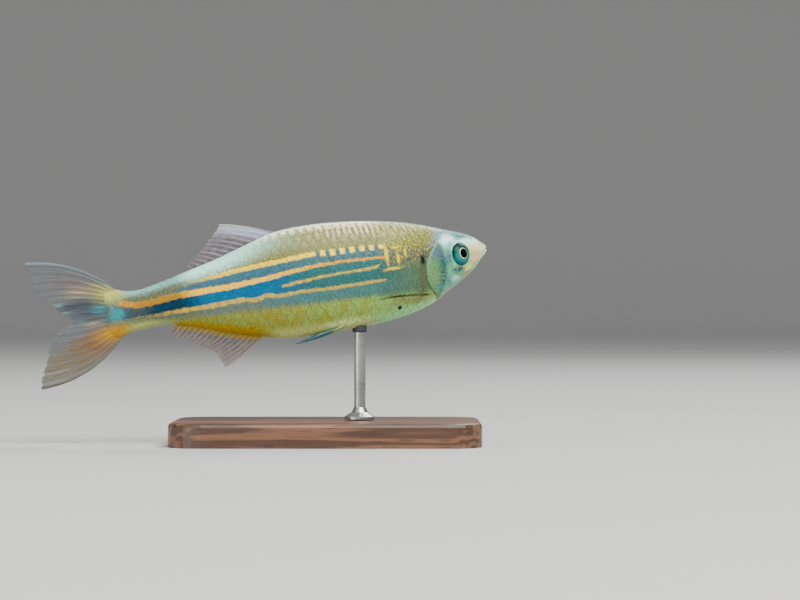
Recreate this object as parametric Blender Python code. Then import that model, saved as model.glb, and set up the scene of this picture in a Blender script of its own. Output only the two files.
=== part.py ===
"""Giant danio: a still, life-size display model of the fish on a plain stand.

The fish is modelled straight along +X, snout forward, with the end of its backbone at the origin.
It is then bent, pitched and set over the stand. The model's origin is the centre of the base's underside.
"""

import math

import bmesh
import bpy
from mathutils import Matrix, Vector

MM = 0.001

# Driving sizes of the fish in mm
STANDARD_LENGTH = 81.0
GAP = 0.3

# The body's sections: place from the tail base, top, bottom, half width,
# level of the widest point, fullness above it and fullness below it (2 is an ellipse)
BODY_STATIONS = (
    (0.0, 4.2, -5.9, 1.0, -0.9, 2.0, 2.0),
    (2.0, 3.5, -5.2, 1.5, -0.9, 2.0, 2.0),
    (5.0, 3.3, -4.95, 1.95, -0.8, 2.1, 2.1),
    (10.0, 4.2, -4.95, 2.4, -0.6, 2.1, 2.1),
    (16.0, 5.6, -6.5, 3.1, -0.5, 2.1, 2.1),
    (22.0, 7.05, -8.7, 3.8, -0.4, 2.1, 2.0),
    (28.0, 8.8, -10.45, 4.45, -0.1, 2.1, 2.0),
    (34.0, 10.5, -11.75, 5.0, 0.3, 2.1, 2.0),
    (42.0, 10.85, -11.95, 5.4, 0.5, 2.1, 2.0),
    (50.0, 10.25, -11.95, 5.5, 0.5, 2.15, 2.0),
    (57.0, 9.25, -11.4, 5.4, 0.3, 2.2, 2.0),
    (62.0, 8.25, -10.6, 5.2, 0.0, 2.3, 2.0),
    (66.0, 7.15, -9.4, 4.95, -0.3, 2.4, 2.0),
    (70.0, 5.85, -7.4, 4.5, -0.5, 2.5, 2.0),
    (74.0, 4.6, -5.5, 3.75, -0.4, 2.5, 2.0),
    (77.0, 3.5, -3.7, 2.95, -0.1, 2.4, 2.0),
    (80.0, 1.6, -1.3, 1.8, 0.2, 2.2, 2.0),
)
TOP, BOTTOM, HALF_WIDTH, LEVEL, CROWN, KEEL = range(6)
NOSE_START = 80.0
NOSE_LEVEL = 0.25

# How the body is divided into rings and sides
RING_STEP_BODY = 2.4
RING_STEP_HEAD = 1.2
HEAD_RINGS_FROM = 62.4
NOSE_RINGS = 4
SIDES = 28
LINE_STEPS = 3
GILL_LINE_STEPS = 2

# Steps used to feel the slope of a surface, and the least share of the width an inner loft keeps
SLOPE_PLACE = 0.2
SLOPE_ANGLE = 2.0
SLOPE_SHARE = 0.01
INNER_KEEPS = 0.4
MERGE = 0.001

# Where the thin cuts part the body: place and height in the side view
GILL_LINE = (
    (70.4, 8.6),
    (68.9, 5.8),
    (67.5, 3.9),
    (66.1, 2.5),
    (64.9, 1.2),
    (63.8, -0.7),
    (63.3, -2.6),
    (63.3, -4.6),
    (63.9, -6.1),
    (65.0, -7.3),
    (66.4, -8.4),
    (67.8, -9.7),
    (68.8, -10.9),
)
TAIL_CUT_PLACE = 10.6
MOUTH_TIP = (81.0, 0.25)
MOUTH_MIDDLE = (79.3, -0.5)
MOUTH_CORNER = (77.3, -1.85)
JAW_JOINT_LINE = ((76.1, -3.0), (75.3, -4.3), (74.9, -6.4))
JAW_LINE_START = (82.2, 0.75)
CUT_REACH = 12.0
LEAST_PIECE = 1.0

# Gill cover: the front of its outline, and how its plate lies in the head
COVER_FRONT = ((67.2, -7.2), (67.9, -5.4), (68.2, -3.2), (68.25, -0.9), (67.9, 1.1), (67.3, 2.2))
COVER_PLATE = 1.2
COVER_LIFT = 0.3
COVER_LIFT_FROM = 68.2
COVER_LIFT_TO = 63.4
COVER_REAR_FIRST = 7
COVER_REAR_LAST = 20
COVER_INSIDE = 0.4
COVER_OUTSIDE = 9.0
RECESS_INSIDE = 0.1
RECESS_OUTSIDE = 10.0

# Eyes
EYE_PLACE = 72.3
EYE_HEIGHT = -0.25
EYE_RADIUS = 2.33
EYE_HALF_DEPTH = 1.75
EYE_STANDS_OUT = 0.7
EYE_FACES_FORWARD = 9.0
EYE_FACES_UP = 5.0
EYE_SEGMENTS = 20
EYE_RINGS = 11

# Lips and nostrils
LIP_RADIUS = 0.42
LIP_SUNK = 0.28
LIP_HALF_POINTS = 9
LIP_CROWDS = 0.8
LIP_STOPS_AT = 0.985
LIP_TAPER = 0.35
NOSTRILS = ((76.9, 38.0, 0.26), (76.2, 41.0, 0.34))
NOSTRIL_DEPTH = 1.3
NOSTRIL_SEGMENTS = 8
NOSTRIL_RINGS = 6

# Dorsal fin: 12 rays from the back, laid back towards the tail
DORSAL_RAYS = 12
DORSAL_ROWS = 7
DORSAL_ROOT = (34.0, 16.4)
DORSAL_EDGE = ((23.4, 13.9), (22.9, 13.0), (21.5, 11.7), (19.5, 9.7), (17.5, 7.95), (15.4, 6.5))
DORSAL_BOW = 0.35
DORSAL_SWAY = 0.3

# Anal fin: 17 rays from the belly behind the vent
ANAL_RAYS = 17
ANAL_ROWS = 7
ANAL_ROOT = (28.6, 11.4)
ANAL_EDGE = (
    (19.9, -15.6),
    (19.3, -14.2),
    (18.4, -12.1),
    (16.6, -10.8),
    (14.5, -9.7),
    (12.6, -8.7),
    (11.1, -7.6),
    (9.9, -6.5),
)
ANAL_BOW = -0.4
ANAL_SWAY = 0.3

# Caudal fin: two lobes, parted from the root to the fork
CAUDAL_ROWS = 12
CAUDAL_UPPER_RAYS = 10
CAUDAL_UPPER_ROOT = ((-0.3, 4.1), (-0.3, -0.85))
CAUDAL_UPPER_EDGE = (
    (-17.9, 12.6),
    (-17.4, 10.4),
    (-17.2, 7.7),
    (-16.0, 5.5),
    (-14.1, 3.55),
    (-12.5, 1.6),
    (-10.6, -0.1),
    (-9.3, -1.15),
)
CAUDAL_UPPER_BOW = 1.9
CAUDAL_LOWER_RAYS = 9
CAUDAL_LOWER_ROOT = ((-0.3, -5.75), (-0.3, -1.2))
CAUDAL_LOWER_EDGE = (
    (-18.6, -13.9),
    (-18.3, -12.3),
    (-17.4, -10.3),
    (-16.3, -8.1),
    (-15.0, -4.7),
    (-13.2, -2.8),
    (-11.2, -1.9),
    (-9.3, -1.5),
)
CAUDAL_LOWER_BOW = -2.2
CAUDAL_SWAY = 0.5
SWAY_WAVE = 3.0
SWAY_START = 0.6

# Paired fins: root and tip rays by place, angle round the body and lift off the skin
PECTORAL_RAYS = 12
PECTORAL_ROWS = 7
PECTORAL_ROOT = ((62.8, -38.5, 0.0), (61.9, -52.0, 0.0))
PECTORAL_TIPS = ((51.0, -35.5, 0.9), (51.9, -40.0, 1.0), (54.6, -46.0, 0.9), (58.4, -51.5, 0.6))
PELVIC_RAYS = 8
PELVIC_ROWS = 6
PELVIC_ROOT = ((45.6, -66.0, 0.0), (44.0, -80.0, 0.0))
PELVIC_TIPS = ((35.1, -75.0, 1.7), (35.9, -77.5, 1.4), (37.6, -80.0, 1.0), (39.6, -83.0, 0.6))
LIFT_CURVE = 1.6

# Thickness of every fin: the membrane, the height of a ray's ridge and what is left at the tips
MEMBRANE_HALF = 0.26
RAY_RIDGE = 0.17
TIP_SHARE = 0.45
TIP_THINS_FROM = 0.8
RIDGE_FADES = 0.5
RAY_PASSES_MEMBRANE = 0.03
ROWS_CROWD = 1.15

# Pose: heading by place along the body, in degrees, then the pitch and the place of the tail base
HEADINGS = ((0.0, -3.0), (16.2, 0.0), (32.5, 5.0), (48.7, 15.0), (65.0, 27.0), (81.0, 31.0))
HEADING_STEPS = 160
PITCH = 9.4
TAIL_BASE = Vector((-43.0, -3.4, 28.1))

# Stand
BASE_LENGTH = 64.0
BASE_WIDTH = 38.0
BASE_THICKNESS = 5.0
BASE_CORNER = 7.0
BASE_CORNER_STEPS = 6
BASE_EDGE = 0.8
BASE_EDGE_STEPS = 2
ROD_RADIUS = 1.2
ROD_SIDES = 20
ROD_FOOT_RADIUS = 3.2
ROD_FOOT_RIM = 0.5
ROD_FOOT_HEIGHT = 1.4
ROD_NECK_RADIUS = 1.7
ROD_NECK_HEIGHT = 1.0
ROD_PLACE = 48.9
ROD_SINKS = 1.5

# Colour, roughness and metallic share of each kind of piece
FINISHES = {
    "flank": ((0.35, 0.33, 0.12), 0.3, 0.0),
    "fin": ((0.45, 0.42, 0.36), 0.35, 0.0),
    "eye": ((0.05, 0.20, 0.20), 0.08, 0.0),
    "base": ((0.09, 0.05, 0.03), 0.45, 0.0),
    "rod": ((0.60, 0.60, 0.60), 0.3, 1.0),
}
SHARP_ANGLE = 40.0


def interpolate(stations, column, place):
    """Read one column of the stations at a place, on a smooth curve through all of them."""
    last = len(stations) - 2
    index = 0
    while index < last and place > stations[index + 1][0]:
        index += 1
    left, right = stations[index], stations[index + 1]
    before = stations[max(index - 1, 0)]
    after = stations[min(index + 2, last + 1)]
    width = right[0] - left[0]
    share = min(max((place - left[0]) / width, 0.0), 1.0)
    slope_left = (right[column] - before[column]) / (right[0] - before[0]) * width
    slope_right = (after[column] - left[column]) / (after[0] - left[0]) * width
    cubed, squared = share ** 3, share ** 2
    return (
        (2 * cubed - 3 * squared + 1) * left[column]
        + (cubed - 2 * squared + share) * slope_left
        + (3 * squared - 2 * cubed) * right[column]
        + (cubed - squared) * slope_right
    )


def smooth_step(low, high, value):
    """Rise from 0 at low to 1 at high with level ends."""
    share = min(max((value - low) / (high - low), 0.0), 1.0)
    return share * share * (3 - 2 * share)


def curve_through(points):
    """Return a function of a share from 0 to 1 that runs smoothly through the points."""
    lengths = [0.0]
    for one, two in zip(points, points[1:]):
        lengths.append(lengths[-1] + math.dist(one, two))
    stations = [(length / lengths[-1], *point) for length, point in zip(lengths, points)]
    columns = range(1, len(points[0]) + 1)
    return lambda share: tuple(interpolate(stations, column, share) for column in columns)


def section(place):
    """Give top, bottom, half width, level, crown and keel of the body at a place."""
    flesh = min(place, NOSE_START)
    sizes = [interpolate(BODY_STATIONS, size + 1, flesh) for size in range(KEEL + 1)]
    if place > NOSE_START:
        reach = STANDARD_LENGTH - NOSE_START
        rounding = math.sqrt(max(1.0 - ((place - NOSE_START) / reach) ** 2, 0.0))
        for size in (TOP, BOTTOM, LEVEL):
            sizes[size] = NOSE_LEVEL + (sizes[size] - NOSE_LEVEL) * rounding
        sizes[HALF_WIDTH] *= rounding
    return sizes


def skin_point(place, angle, grow=0.0):
    """Give the point of the body's surface at a place and an angle up from the left side."""
    top, bottom, half, level, crown, keel = section(place)
    grow = max(grow, (INNER_KEEPS - 1.0) * half)
    across, up = math.cos(math.radians(angle)), math.sin(math.radians(angle))
    fullness = crown if up >= 0 else keel
    height = top + grow - level if up >= 0 else level - bottom + grow
    y = math.copysign(abs(across) ** (2 / fullness), across) * (half + grow)
    z = level + math.copysign(abs(up) ** (2 / fullness), up) * height
    return Vector((place, y, z))


def skin_normal(place, angle):
    """Give the outward direction of the body's surface at a place and an angle."""
    along = skin_point(place + SLOPE_PLACE, angle) - skin_point(place - SLOPE_PLACE, angle)
    around = skin_point(place, angle + SLOPE_ANGLE) - skin_point(place, angle - SLOPE_ANGLE)
    return around.cross(along).normalized()


def skin_angle(place, height):
    """Give the angle on the left side at which the body's surface has this height."""
    top, bottom, _, level, crown, keel = section(place)
    if height >= level:
        share = ((height - level) / (top - level)) ** (crown / 2)
    else:
        share = -(((level - height) / (level - bottom)) ** (keel / 2))
    return math.degrees(math.asin(min(max(share, -1.0), 1.0)))


def make_collection(name):
    """Make a collection in the scene."""
    collection = bpy.data.collections.new(name)
    bpy.context.scene.collection.children.link(collection)
    return collection


def make_material(name, colour, roughness, metallic):
    """Make a plain material for one piece."""
    material = bpy.data.materials.new(name)
    material.use_nodes = True
    shader = material.node_tree.nodes["Principled BSDF"]
    shader.inputs["Base Color"].default_value = (*colour, 1.0)
    shader.inputs["Roughness"].default_value = roughness
    shader.inputs["Metallic"].default_value = metallic
    material.diffuse_color = (*colour, 1.0)
    return material


def make_object(name, shape, collection):
    """Turn a bmesh whose sizes are in mm into an object of the collection."""
    bmesh.ops.scale(shape, vec=(MM, MM, MM), verts=shape.verts)
    mesh = bpy.data.meshes.new(name)
    shape.to_mesh(mesh)
    shape.free()
    thing = bpy.data.objects.new(name, mesh)
    collection.objects.link(thing)
    if collection.name == "cutters":
        thing.hide_render = True
        thing.display_type = "WIRE"
    return thing


def remove_object(thing):
    """Take an object out of the file."""
    bpy.data.objects.remove(thing, do_unlink=True)


def settle(thing):
    """Make the object's modifiers part of its mesh."""
    bpy.context.view_layer.update()
    graph = bpy.context.evaluated_depsgraph_get()
    mesh = bpy.data.meshes.new_from_object(thing.evaluated_get(graph))
    thing.modifiers.clear()
    thing.data = mesh


def combine(target, tools, operation):
    """Cut, join or intersect the target with each tool in turn, and remove the tools."""
    for tool in tools:
        modifier = target.modifiers.new(tool.name, "BOOLEAN")
        modifier.operation = operation
        modifier.solver = "EXACT"
        modifier.object = tool
        settle(target)
        remove_object(tool)


def copy_object(thing, name, collection):
    """Copy an object with its mesh."""
    twin = thing.copy()
    twin.data = thing.data.copy()
    twin.name = name
    collection.objects.link(twin)
    return twin


def split_bodies(thing):
    """Return one bmesh for each closed surface of the object, and remove the object."""
    whole = bmesh.new()
    whole.from_mesh(thing.data)
    whole.faces.ensure_lookup_table()
    owner = {}
    count = 0
    for start in whole.faces:
        if start.index in owner:
            continue
        owner[start.index] = count
        waiting = [start]
        while waiting:
            face = waiting.pop()
            for edge in face.edges:
                for other in edge.link_faces:
                    if other.index not in owner:
                        owner[other.index] = count
                        waiting.append(other)
        count += 1
    bodies = []
    for number in range(count):
        body = whole.copy()
        body.faces.ensure_lookup_table()
        others = [face for face in body.faces if owner[face.index] != number]
        bmesh.ops.delete(body, geom=others, context="FACES")
        bmesh.ops.scale(body, vec=(1 / MM, 1 / MM, 1 / MM), verts=body.verts)
        bodies.append(body)
    whole.free()
    remove_object(thing)
    return bodies


def keep_largest(thing):
    """Keep only the object's largest closed surface."""
    name, collection = thing.name, thing.users_collection[0]
    bodies = split_bodies(thing)
    bodies.sort(key=lambda body: body.calc_volume(), reverse=True)
    for scrap in bodies[1:]:
        scrap.free()
    return make_object(name, bodies[0], collection)


def body_rings():
    """List the places of the body's rings from the tail base to just behind the snout's tip."""
    places = []
    steps = round(HEAD_RINGS_FROM / RING_STEP_BODY)
    places += [RING_STEP_BODY * step for step in range(steps)]
    steps = round((NOSE_START - HEAD_RINGS_FROM) / RING_STEP_HEAD)
    width = (NOSE_START - HEAD_RINGS_FROM) / steps
    places += [HEAD_RINGS_FROM + width * step for step in range(steps)]
    reach = STANDARD_LENGTH - NOSE_START
    turns = [math.pi / 2 * step / NOSE_RINGS for step in range(NOSE_RINGS)]
    places += [NOSE_START + reach * math.sin(turn) for turn in turns]
    return places


def loft_body(name, collection, grow=lambda place: 0.0):
    """Loft the body through its rings, closed at the tail base and the snout."""
    places = body_rings()
    columns = len(places) + 1
    shape = bmesh.new()
    bmesh.ops.create_grid(shape, x_segments=columns, y_segments=SIDES, size=0.5)
    for vertex in shape.verts:
        column = round((vertex.co.x + 0.5) * columns)
        angle = -90.0 + 360.0 * round((vertex.co.y + 0.5) * SIDES) / SIDES
        if column == 0:
            vertex.co = (-grow(0.0), 0.0, section(0.0)[LEVEL])
        elif column == columns:
            vertex.co = (STANDARD_LENGTH + grow(NOSE_START), 0.0, NOSE_LEVEL)
        else:
            place = places[column - 1]
            vertex.co = skin_point(place, angle, grow(place))
            if column == 1:
                vertex.co.x -= grow(0.0)
    bmesh.ops.remove_doubles(shape, verts=shape.verts, dist=MERGE)
    bmesh.ops.triangulate(shape, faces=shape.faces)
    bmesh.ops.recalc_face_normals(shape, faces=shape.faces)
    return make_object(name, shape, collection)


def offset_line(points, distance):
    """Shift a line sideways: a positive distance moves it to the left of its own direction."""
    shifted = []
    for index, (x, z) in enumerate(points):
        before = points[max(index - 1, 0)]
        after = points[min(index + 1, len(points) - 1)]
        direction = Vector((after[0] - before[0], after[1] - before[1])).normalized()
        shifted.append((x - direction.y * distance, z + direction.x * distance))
    return shifted


def plate(name, outline, low, high, collection):
    """Make a flat plate from a side-view outline, from one side position to another."""
    curve = bpy.data.curves.new(name, "CURVE")
    curve.dimensions = "2D"
    curve.fill_mode = "BOTH"
    curve.extrude = (high - low) / 2
    spline = curve.splines.new("POLY")
    spline.points.add(len(outline) - 1)
    for point, (x, z) in zip(spline.points, outline):
        point.co = (x, z, 0.0, 1.0)
    spline.use_cyclic_u = True
    drawn = bpy.data.objects.new(name, curve)
    collection.objects.link(drawn)
    place = Matrix.Translation((0, (low + high) / 2, 0)) @ Matrix.Rotation(math.pi / 2, 4, "X")
    return curve_to_mesh(drawn, place, collection)


def curve_to_mesh(drawn, place, collection):
    """Replace a curve object by a closed mesh in the same collection."""
    name = drawn.name
    bpy.context.view_layer.update()
    graph = bpy.context.evaluated_depsgraph_get()
    mesh = bpy.data.meshes.new_from_object(drawn.evaluated_get(graph))
    shape = bmesh.new()
    shape.from_mesh(mesh)
    bmesh.ops.transform(shape, matrix=place, verts=shape.verts)
    bmesh.ops.remove_doubles(shape, verts=shape.verts, dist=MERGE)
    bmesh.ops.recalc_face_normals(shape, faces=shape.faces)
    remove_object(drawn)
    return make_object(name, shape, collection)


def slit(name, line, collection):
    """Make the thin plate that parts the body along a side-view line."""
    outline = offset_line(line, GAP / 2) + offset_line(line, -GAP / 2)[::-1]
    return plate(name, outline, -CUT_REACH, CUT_REACH, collection)


def smooth_line(points, steps):
    """Put smooth points between the given ones."""
    curve = curve_through(points)
    count = (len(points) - 1) * steps
    return [curve(index / count) for index in range(count + 1)]


def mouth_line():
    """List the side-view points of the cleft of the mouth, from the snout's tip to its corner."""
    return smooth_line((MOUTH_TIP, MOUTH_MIDDLE, MOUTH_CORNER), LINE_STEPS)


def add_lips(body, collection):
    """Raise a soft rim on both sides of the cleft, from one corner of the mouth to the other."""
    cleft = curve_through((MOUTH_CORNER, MOUTH_MIDDLE, MOUTH_TIP))
    curve = bpy.data.curves.new("lips", "CURVE")
    curve.dimensions = "3D"
    curve.bevel_depth = LIP_RADIUS
    curve.bevel_resolution = 1
    curve.use_fill_caps = True
    spline = curve.splines.new("POLY")
    spline.points.add(2 * LIP_HALF_POINTS)
    for index, point in enumerate(spline.points):
        share = (index - LIP_HALF_POINTS) / LIP_HALF_POINTS
        place, height = cleft(math.cos(share * math.pi / 2) ** LIP_CROWDS * LIP_STOPS_AT)
        angle = skin_angle(place, height)
        surface = skin_point(place, angle)
        sunk = surface - skin_normal(place, angle) * LIP_SUNK
        sideways = math.copysign(abs(sunk.y), share) if share else 0.0
        point.co = (sunk.x, sideways, sunk.z, 1.0)
        point.radius = 1.0 - LIP_TAPER * abs(share) ** 3
    drawn = bpy.data.objects.new("lips", curve)
    collection.objects.link(drawn)
    combine(body, [curve_to_mesh(drawn, Matrix(), collection)], "UNION")


def ellipsoid(name, collection, centre, axis, sizes, divisions):
    """Make a flattened ball from its radius and half depth, its short axis along the given direction."""
    radius, half_depth = sizes
    shape = bmesh.new()
    bmesh.ops.create_uvsphere(shape, u_segments=divisions[0], v_segments=divisions[1], radius=1.0)
    bmesh.ops.scale(shape, vec=(radius, radius, half_depth), verts=shape.verts)
    turn = Vector((0, 0, 1)).rotation_difference(axis).to_matrix().to_4x4()
    bmesh.ops.transform(shape, matrix=Matrix.Translation(centre) @ turn, verts=shape.verts)
    return make_object(name, shape, collection)


def eye_frame(side):
    """Give the centre and outward axis of the eye on one side."""
    forward, up = math.radians(EYE_FACES_FORWARD), math.radians(EYE_FACES_UP)
    axis = Vector((math.sin(forward), side * math.cos(forward) * math.cos(up), math.sin(up)))
    axis.normalize()
    surface = skin_point(EYE_PLACE, skin_angle(EYE_PLACE, EYE_HEIGHT))
    surface.y *= side
    return surface + axis * (EYE_STANDS_OUT - EYE_HALF_DEPTH), axis


def make_eye(name, side, collection):
    """Make one eyeball."""
    centre, axis = eye_frame(side)
    return ellipsoid(name, collection, centre, axis, (EYE_RADIUS, EYE_HALF_DEPTH), (EYE_SEGMENTS, EYE_RINGS))


def cut_eye_socket(head, side, cutters):
    """Sink the socket of one eye into the head."""
    centre, axis = eye_frame(side)
    sizes = (EYE_RADIUS + GAP, EYE_HALF_DEPTH + GAP)
    socket = ellipsoid("socket", cutters, centre, axis, sizes, (EYE_SEGMENTS, EYE_RINGS))
    combine(head, [socket], "DIFFERENCE")


def cut_nostrils(head, side, cutters):
    """Sink the two nostrils of one side ahead of the eye."""
    for place, angle, radius in NOSTRILS:
        centre = skin_point(place, angle)
        axis = skin_normal(place, angle)
        axis.y *= side
        centre.y *= side
        sizes = (radius, radius * NOSTRIL_DEPTH)
        pit = ellipsoid("nostril", cutters, centre, axis, sizes, (NOSTRIL_SEGMENTS, NOSTRIL_RINGS))
        combine(head, [pit], "DIFFERENCE")


def cover_outline(rear_shift, front_shift):
    """Give the side-view outline of a gill cover, grown at its rear and front edges."""
    gill_line = offset_line(smooth_line(GILL_LINE, GILL_LINE_STEPS), rear_shift)
    rear = gill_line[COVER_REAR_FIRST:COVER_REAR_LAST + 1]
    front = offset_line(COVER_FRONT, -front_shift)
    return rear + front


def cover_lift(place):
    """Say how far the gill cover stands off the body's form at a place."""
    return COVER_LIFT * smooth_step(-COVER_LIFT_FROM, -COVER_LIFT_TO, -place)


def make_gill_cover(name, side, parts, cutters):
    """Make the plate that covers the gills on one side."""
    low, high = sorted((side * COVER_INSIDE, side * COVER_OUTSIDE))
    cover = plate(name, cover_outline(GAP / 2, 0.0), low, high, parts)
    combine(cover, [loft_body("outer", cutters, cover_lift)], "INTERSECT")
    combine(cover, [loft_body("inner", cutters, lambda place: -COVER_PLATE)], "DIFFERENCE")
    return keep_largest(cover)


def cut_cover_recess(head, side, cutters):
    """Sink the bed of one gill cover into the head."""
    low, high = sorted((side * RECESS_INSIDE, side * RECESS_OUTSIDE))
    recess = plate("recess", cover_outline(0.0, GAP), low, high, cutters)
    inner = loft_body("inner", cutters, lambda place: -COVER_PLATE - GAP)
    combine(recess, [inner], "DIFFERENCE")
    combine(head, [recess], "DIFFERENCE")


def make_body(parts, cutters):
    """Make the body and part it into head, lower jaw, torso and tail stalk."""
    body = loft_body("body", parts)
    add_lips(body, cutters)
    tail_line = ((TAIL_CUT_PLACE, CUT_REACH), (TAIL_CUT_PLACE, -CUT_REACH))
    jaw_line = [JAW_LINE_START] + mouth_line() + list(JAW_JOINT_LINE)
    lines = (smooth_line(GILL_LINE, GILL_LINE_STEPS), tail_line, jaw_line)
    combine(body, [slit("slit", line, cutters) for line in lines], "DIFFERENCE")
    flesh = {}
    for piece in split_bodies(body):
        places = [vertex.co.x for vertex in piece.verts]
        if piece.calc_volume() < LEAST_PIECE:
            piece.free()
            continue
        if max(places) < TAIL_CUT_PLACE:
            name = "tail_stalk"
        elif min(places) < TAIL_CUT_PLACE + 1:
            name = "torso"
        elif min(places) > JAW_JOINT_LINE[-1][0] - GAP:
            name = "lower_jaw"
        else:
            name = "head"
        flesh[name] = make_object(name, piece, parts)
    for side in (-1, 1):
        cut_cover_recess(flesh["head"], side, cutters)
        cut_eye_socket(flesh["head"], side, cutters)
        cut_nostrils(flesh["head"], side, cutters)
    flesh["head"] = keep_largest(flesh["head"])
    return flesh


def make_fin(name, middle, rays, rows, collection):
    """Make a fin from its middle surface, with a ridge along each ray on both faces.

    The middle surface is a function of two shares: across the rays and along them.
    """
    columns = 2 * (rays - 1)
    shape = bmesh.new()
    bmesh.ops.create_grid(shape, x_segments=columns, y_segments=rows, size=0.5)
    bmesh.ops.triangulate(shape, faces=shape.faces)
    grown = bmesh.ops.extrude_face_region(shape, geom=shape.faces[:])
    raised = [item for item in grown["geom"] if isinstance(item, bmesh.types.BMVert)]
    bmesh.ops.translate(shape, vec=(0, 0, 1), verts=raised)
    for vertex in shape.verts:
        side = 1.0 if vertex.co.z > 0.5 else -1.0
        across = vertex.co.x + 0.5
        along = 1.0 - (0.5 - vertex.co.y) ** ROWS_CROWD
        ridge = abs(math.cos(math.pi * across * (rays - 1)))
        reach = along * (1.0 - RAY_PASSES_MEMBRANE * (1.0 - ridge))
        before, after = max(across - SLOPE_SHARE, 0.0), min(across + SLOPE_SHARE, 1.0)
        nearer, farther = max(reach - SLOPE_SHARE, 0.0), min(reach + SLOPE_SHARE, 1.0)
        over = middle(after, reach) - middle(before, reach)
        out = middle(across, farther) - middle(across, nearer)
        normal = over.cross(out).normalized()
        thin = 1.0 - (1.0 - TIP_SHARE) * smooth_step(TIP_THINS_FROM, 1.0, along)
        half = (MEMBRANE_HALF + RAY_RIDGE * ridge * (1.0 - RIDGE_FADES * along)) * thin
        vertex.co = middle(across, reach) + normal * half * side
    if shape.calc_volume(signed=True) < 0:
        bmesh.ops.reverse_faces(shape, faces=shape.faces)
    return make_object(name, shape, collection)


def bent(root, tip, bow, share):
    """Give the point on a gently bowed path from root to tip in the side view."""
    chord = Vector((tip[0] - root[0], tip[1] - root[1]))
    sideways = Vector((chord.y, -chord.x)).normalized() * bow * 4 * share * (1 - share)
    return root[0] + chord.x * share + sideways.x, root[1] + chord.y * share + sideways.y


def median_sheet(root, tip, bow, sway):
    """Give the middle surface of a fin that stands in the body's own plane."""
    def middle(across, along):
        x, z = bent(root(across), tip(across), bow * (1.0 - across), along)
        return Vector((x, sway * along * along * math.sin(SWAY_WAVE * across + SWAY_START), z))
    return middle


def back_root(span):
    """Give the root line of the dorsal fin, just clear of the back."""
    def root(across):
        place = span[0] + (span[1] - span[0]) * across
        return place, section(place)[TOP] + GAP
    return root


def belly_root(span):
    """Give the root line of the anal fin, just clear of the belly."""
    def root(across):
        place = span[0] + (span[1] - span[0]) * across
        return place, section(place)[BOTTOM] - GAP
    return root


def paired_sheet(root_points, tip_points, side):
    """Give the middle surface of a paired fin, which lies back along the body."""
    root = curve_through(root_points)
    tip = curve_through(tip_points)
    clear = GAP + MEMBRANE_HALF + RAY_RIDGE

    def middle(across, along):
        start, end = root(across), tip(across)
        place, angle, _ = (a + (b - a) * along for a, b in zip(start, end))
        lift = end[2] * along ** LIFT_CURVE
        point = skin_point(place, angle) + skin_normal(place, angle) * (clear + lift)
        return Vector((point.x, side * point.y, point.z))
    return middle


def make_fins(parts):
    """Make all the fins."""
    caudal_upper = curve_through(CAUDAL_UPPER_ROOT)
    caudal_lower = curve_through(CAUDAL_LOWER_ROOT)
    median = (
        ("dorsal_fin", back_root(DORSAL_ROOT), DORSAL_EDGE, DORSAL_BOW, DORSAL_SWAY,
         DORSAL_RAYS, DORSAL_ROWS),
        ("anal_fin", belly_root(ANAL_ROOT), ANAL_EDGE, ANAL_BOW, ANAL_SWAY, ANAL_RAYS, ANAL_ROWS),
        ("caudal_fin_upper", caudal_upper, CAUDAL_UPPER_EDGE, CAUDAL_UPPER_BOW, CAUDAL_SWAY,
         CAUDAL_UPPER_RAYS, CAUDAL_ROWS),
        ("caudal_fin_lower", caudal_lower, CAUDAL_LOWER_EDGE, CAUDAL_LOWER_BOW, -CAUDAL_SWAY,
         CAUDAL_LOWER_RAYS, CAUDAL_ROWS),
    )
    fins = []
    for name, root, edge, bow, sway, rays, rows in median:
        sheet = median_sheet(root, curve_through(edge), bow, sway)
        fins.append(make_fin(name, sheet, rays, rows, parts))
    for word, side in (("right", -1.0), ("left", 1.0)):
        sheet = paired_sheet(PECTORAL_ROOT, PECTORAL_TIPS, side)
        fins.append(make_fin("pectoral_fin_" + word, sheet, PECTORAL_RAYS, PECTORAL_ROWS, parts))
        sheet = paired_sheet(PELVIC_ROOT, PELVIC_TIPS, side)
        fins.append(make_fin("pelvic_fin_" + word, sheet, PELVIC_RAYS, PELVIC_ROWS, parts))
    return fins


def centre_line():
    """List place, X, Y and heading along the bent centre line, in mm and radians."""
    step = STANDARD_LENGTH / HEADING_STEPS
    line = []
    x = y = 0.0
    for index in range(HEADING_STEPS + 1):
        heading = math.radians(interpolate(HEADINGS, 1, index * step))
        if index:
            middle = (heading + line[-1][3]) / 2
            x += math.cos(middle) * step
            y += math.sin(middle) * step
        line.append((index * step, x, y, heading))
    return line


def posed(point, line):
    """Carry a point of the straight fish into the pose, in mm."""
    step = STANDARD_LENGTH / HEADING_STEPS
    position = min(max(point.x / step, 0.0), HEADING_STEPS)
    index = min(int(position), HEADING_STEPS - 1)
    share = position - index
    place, x, y, heading = (a + (b - a) * share for a, b in zip(line[index], line[index + 1]))
    beyond = point.x - place
    x += math.cos(heading) * beyond - math.sin(heading) * point.y
    y += math.sin(heading) * beyond + math.cos(heading) * point.y
    pitch = Matrix.Rotation(math.radians(-PITCH), 3, "Y")
    return pitch @ Vector((x, y, point.z)) + TAIL_BASE


def pose_fish(things):
    """Bend and pitch every piece of the fish."""
    line = centre_line()
    for thing in things:
        for vertex in thing.data.vertices:
            vertex.co = posed(vertex.co / MM, line) * MM
        thing.data.update()


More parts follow.
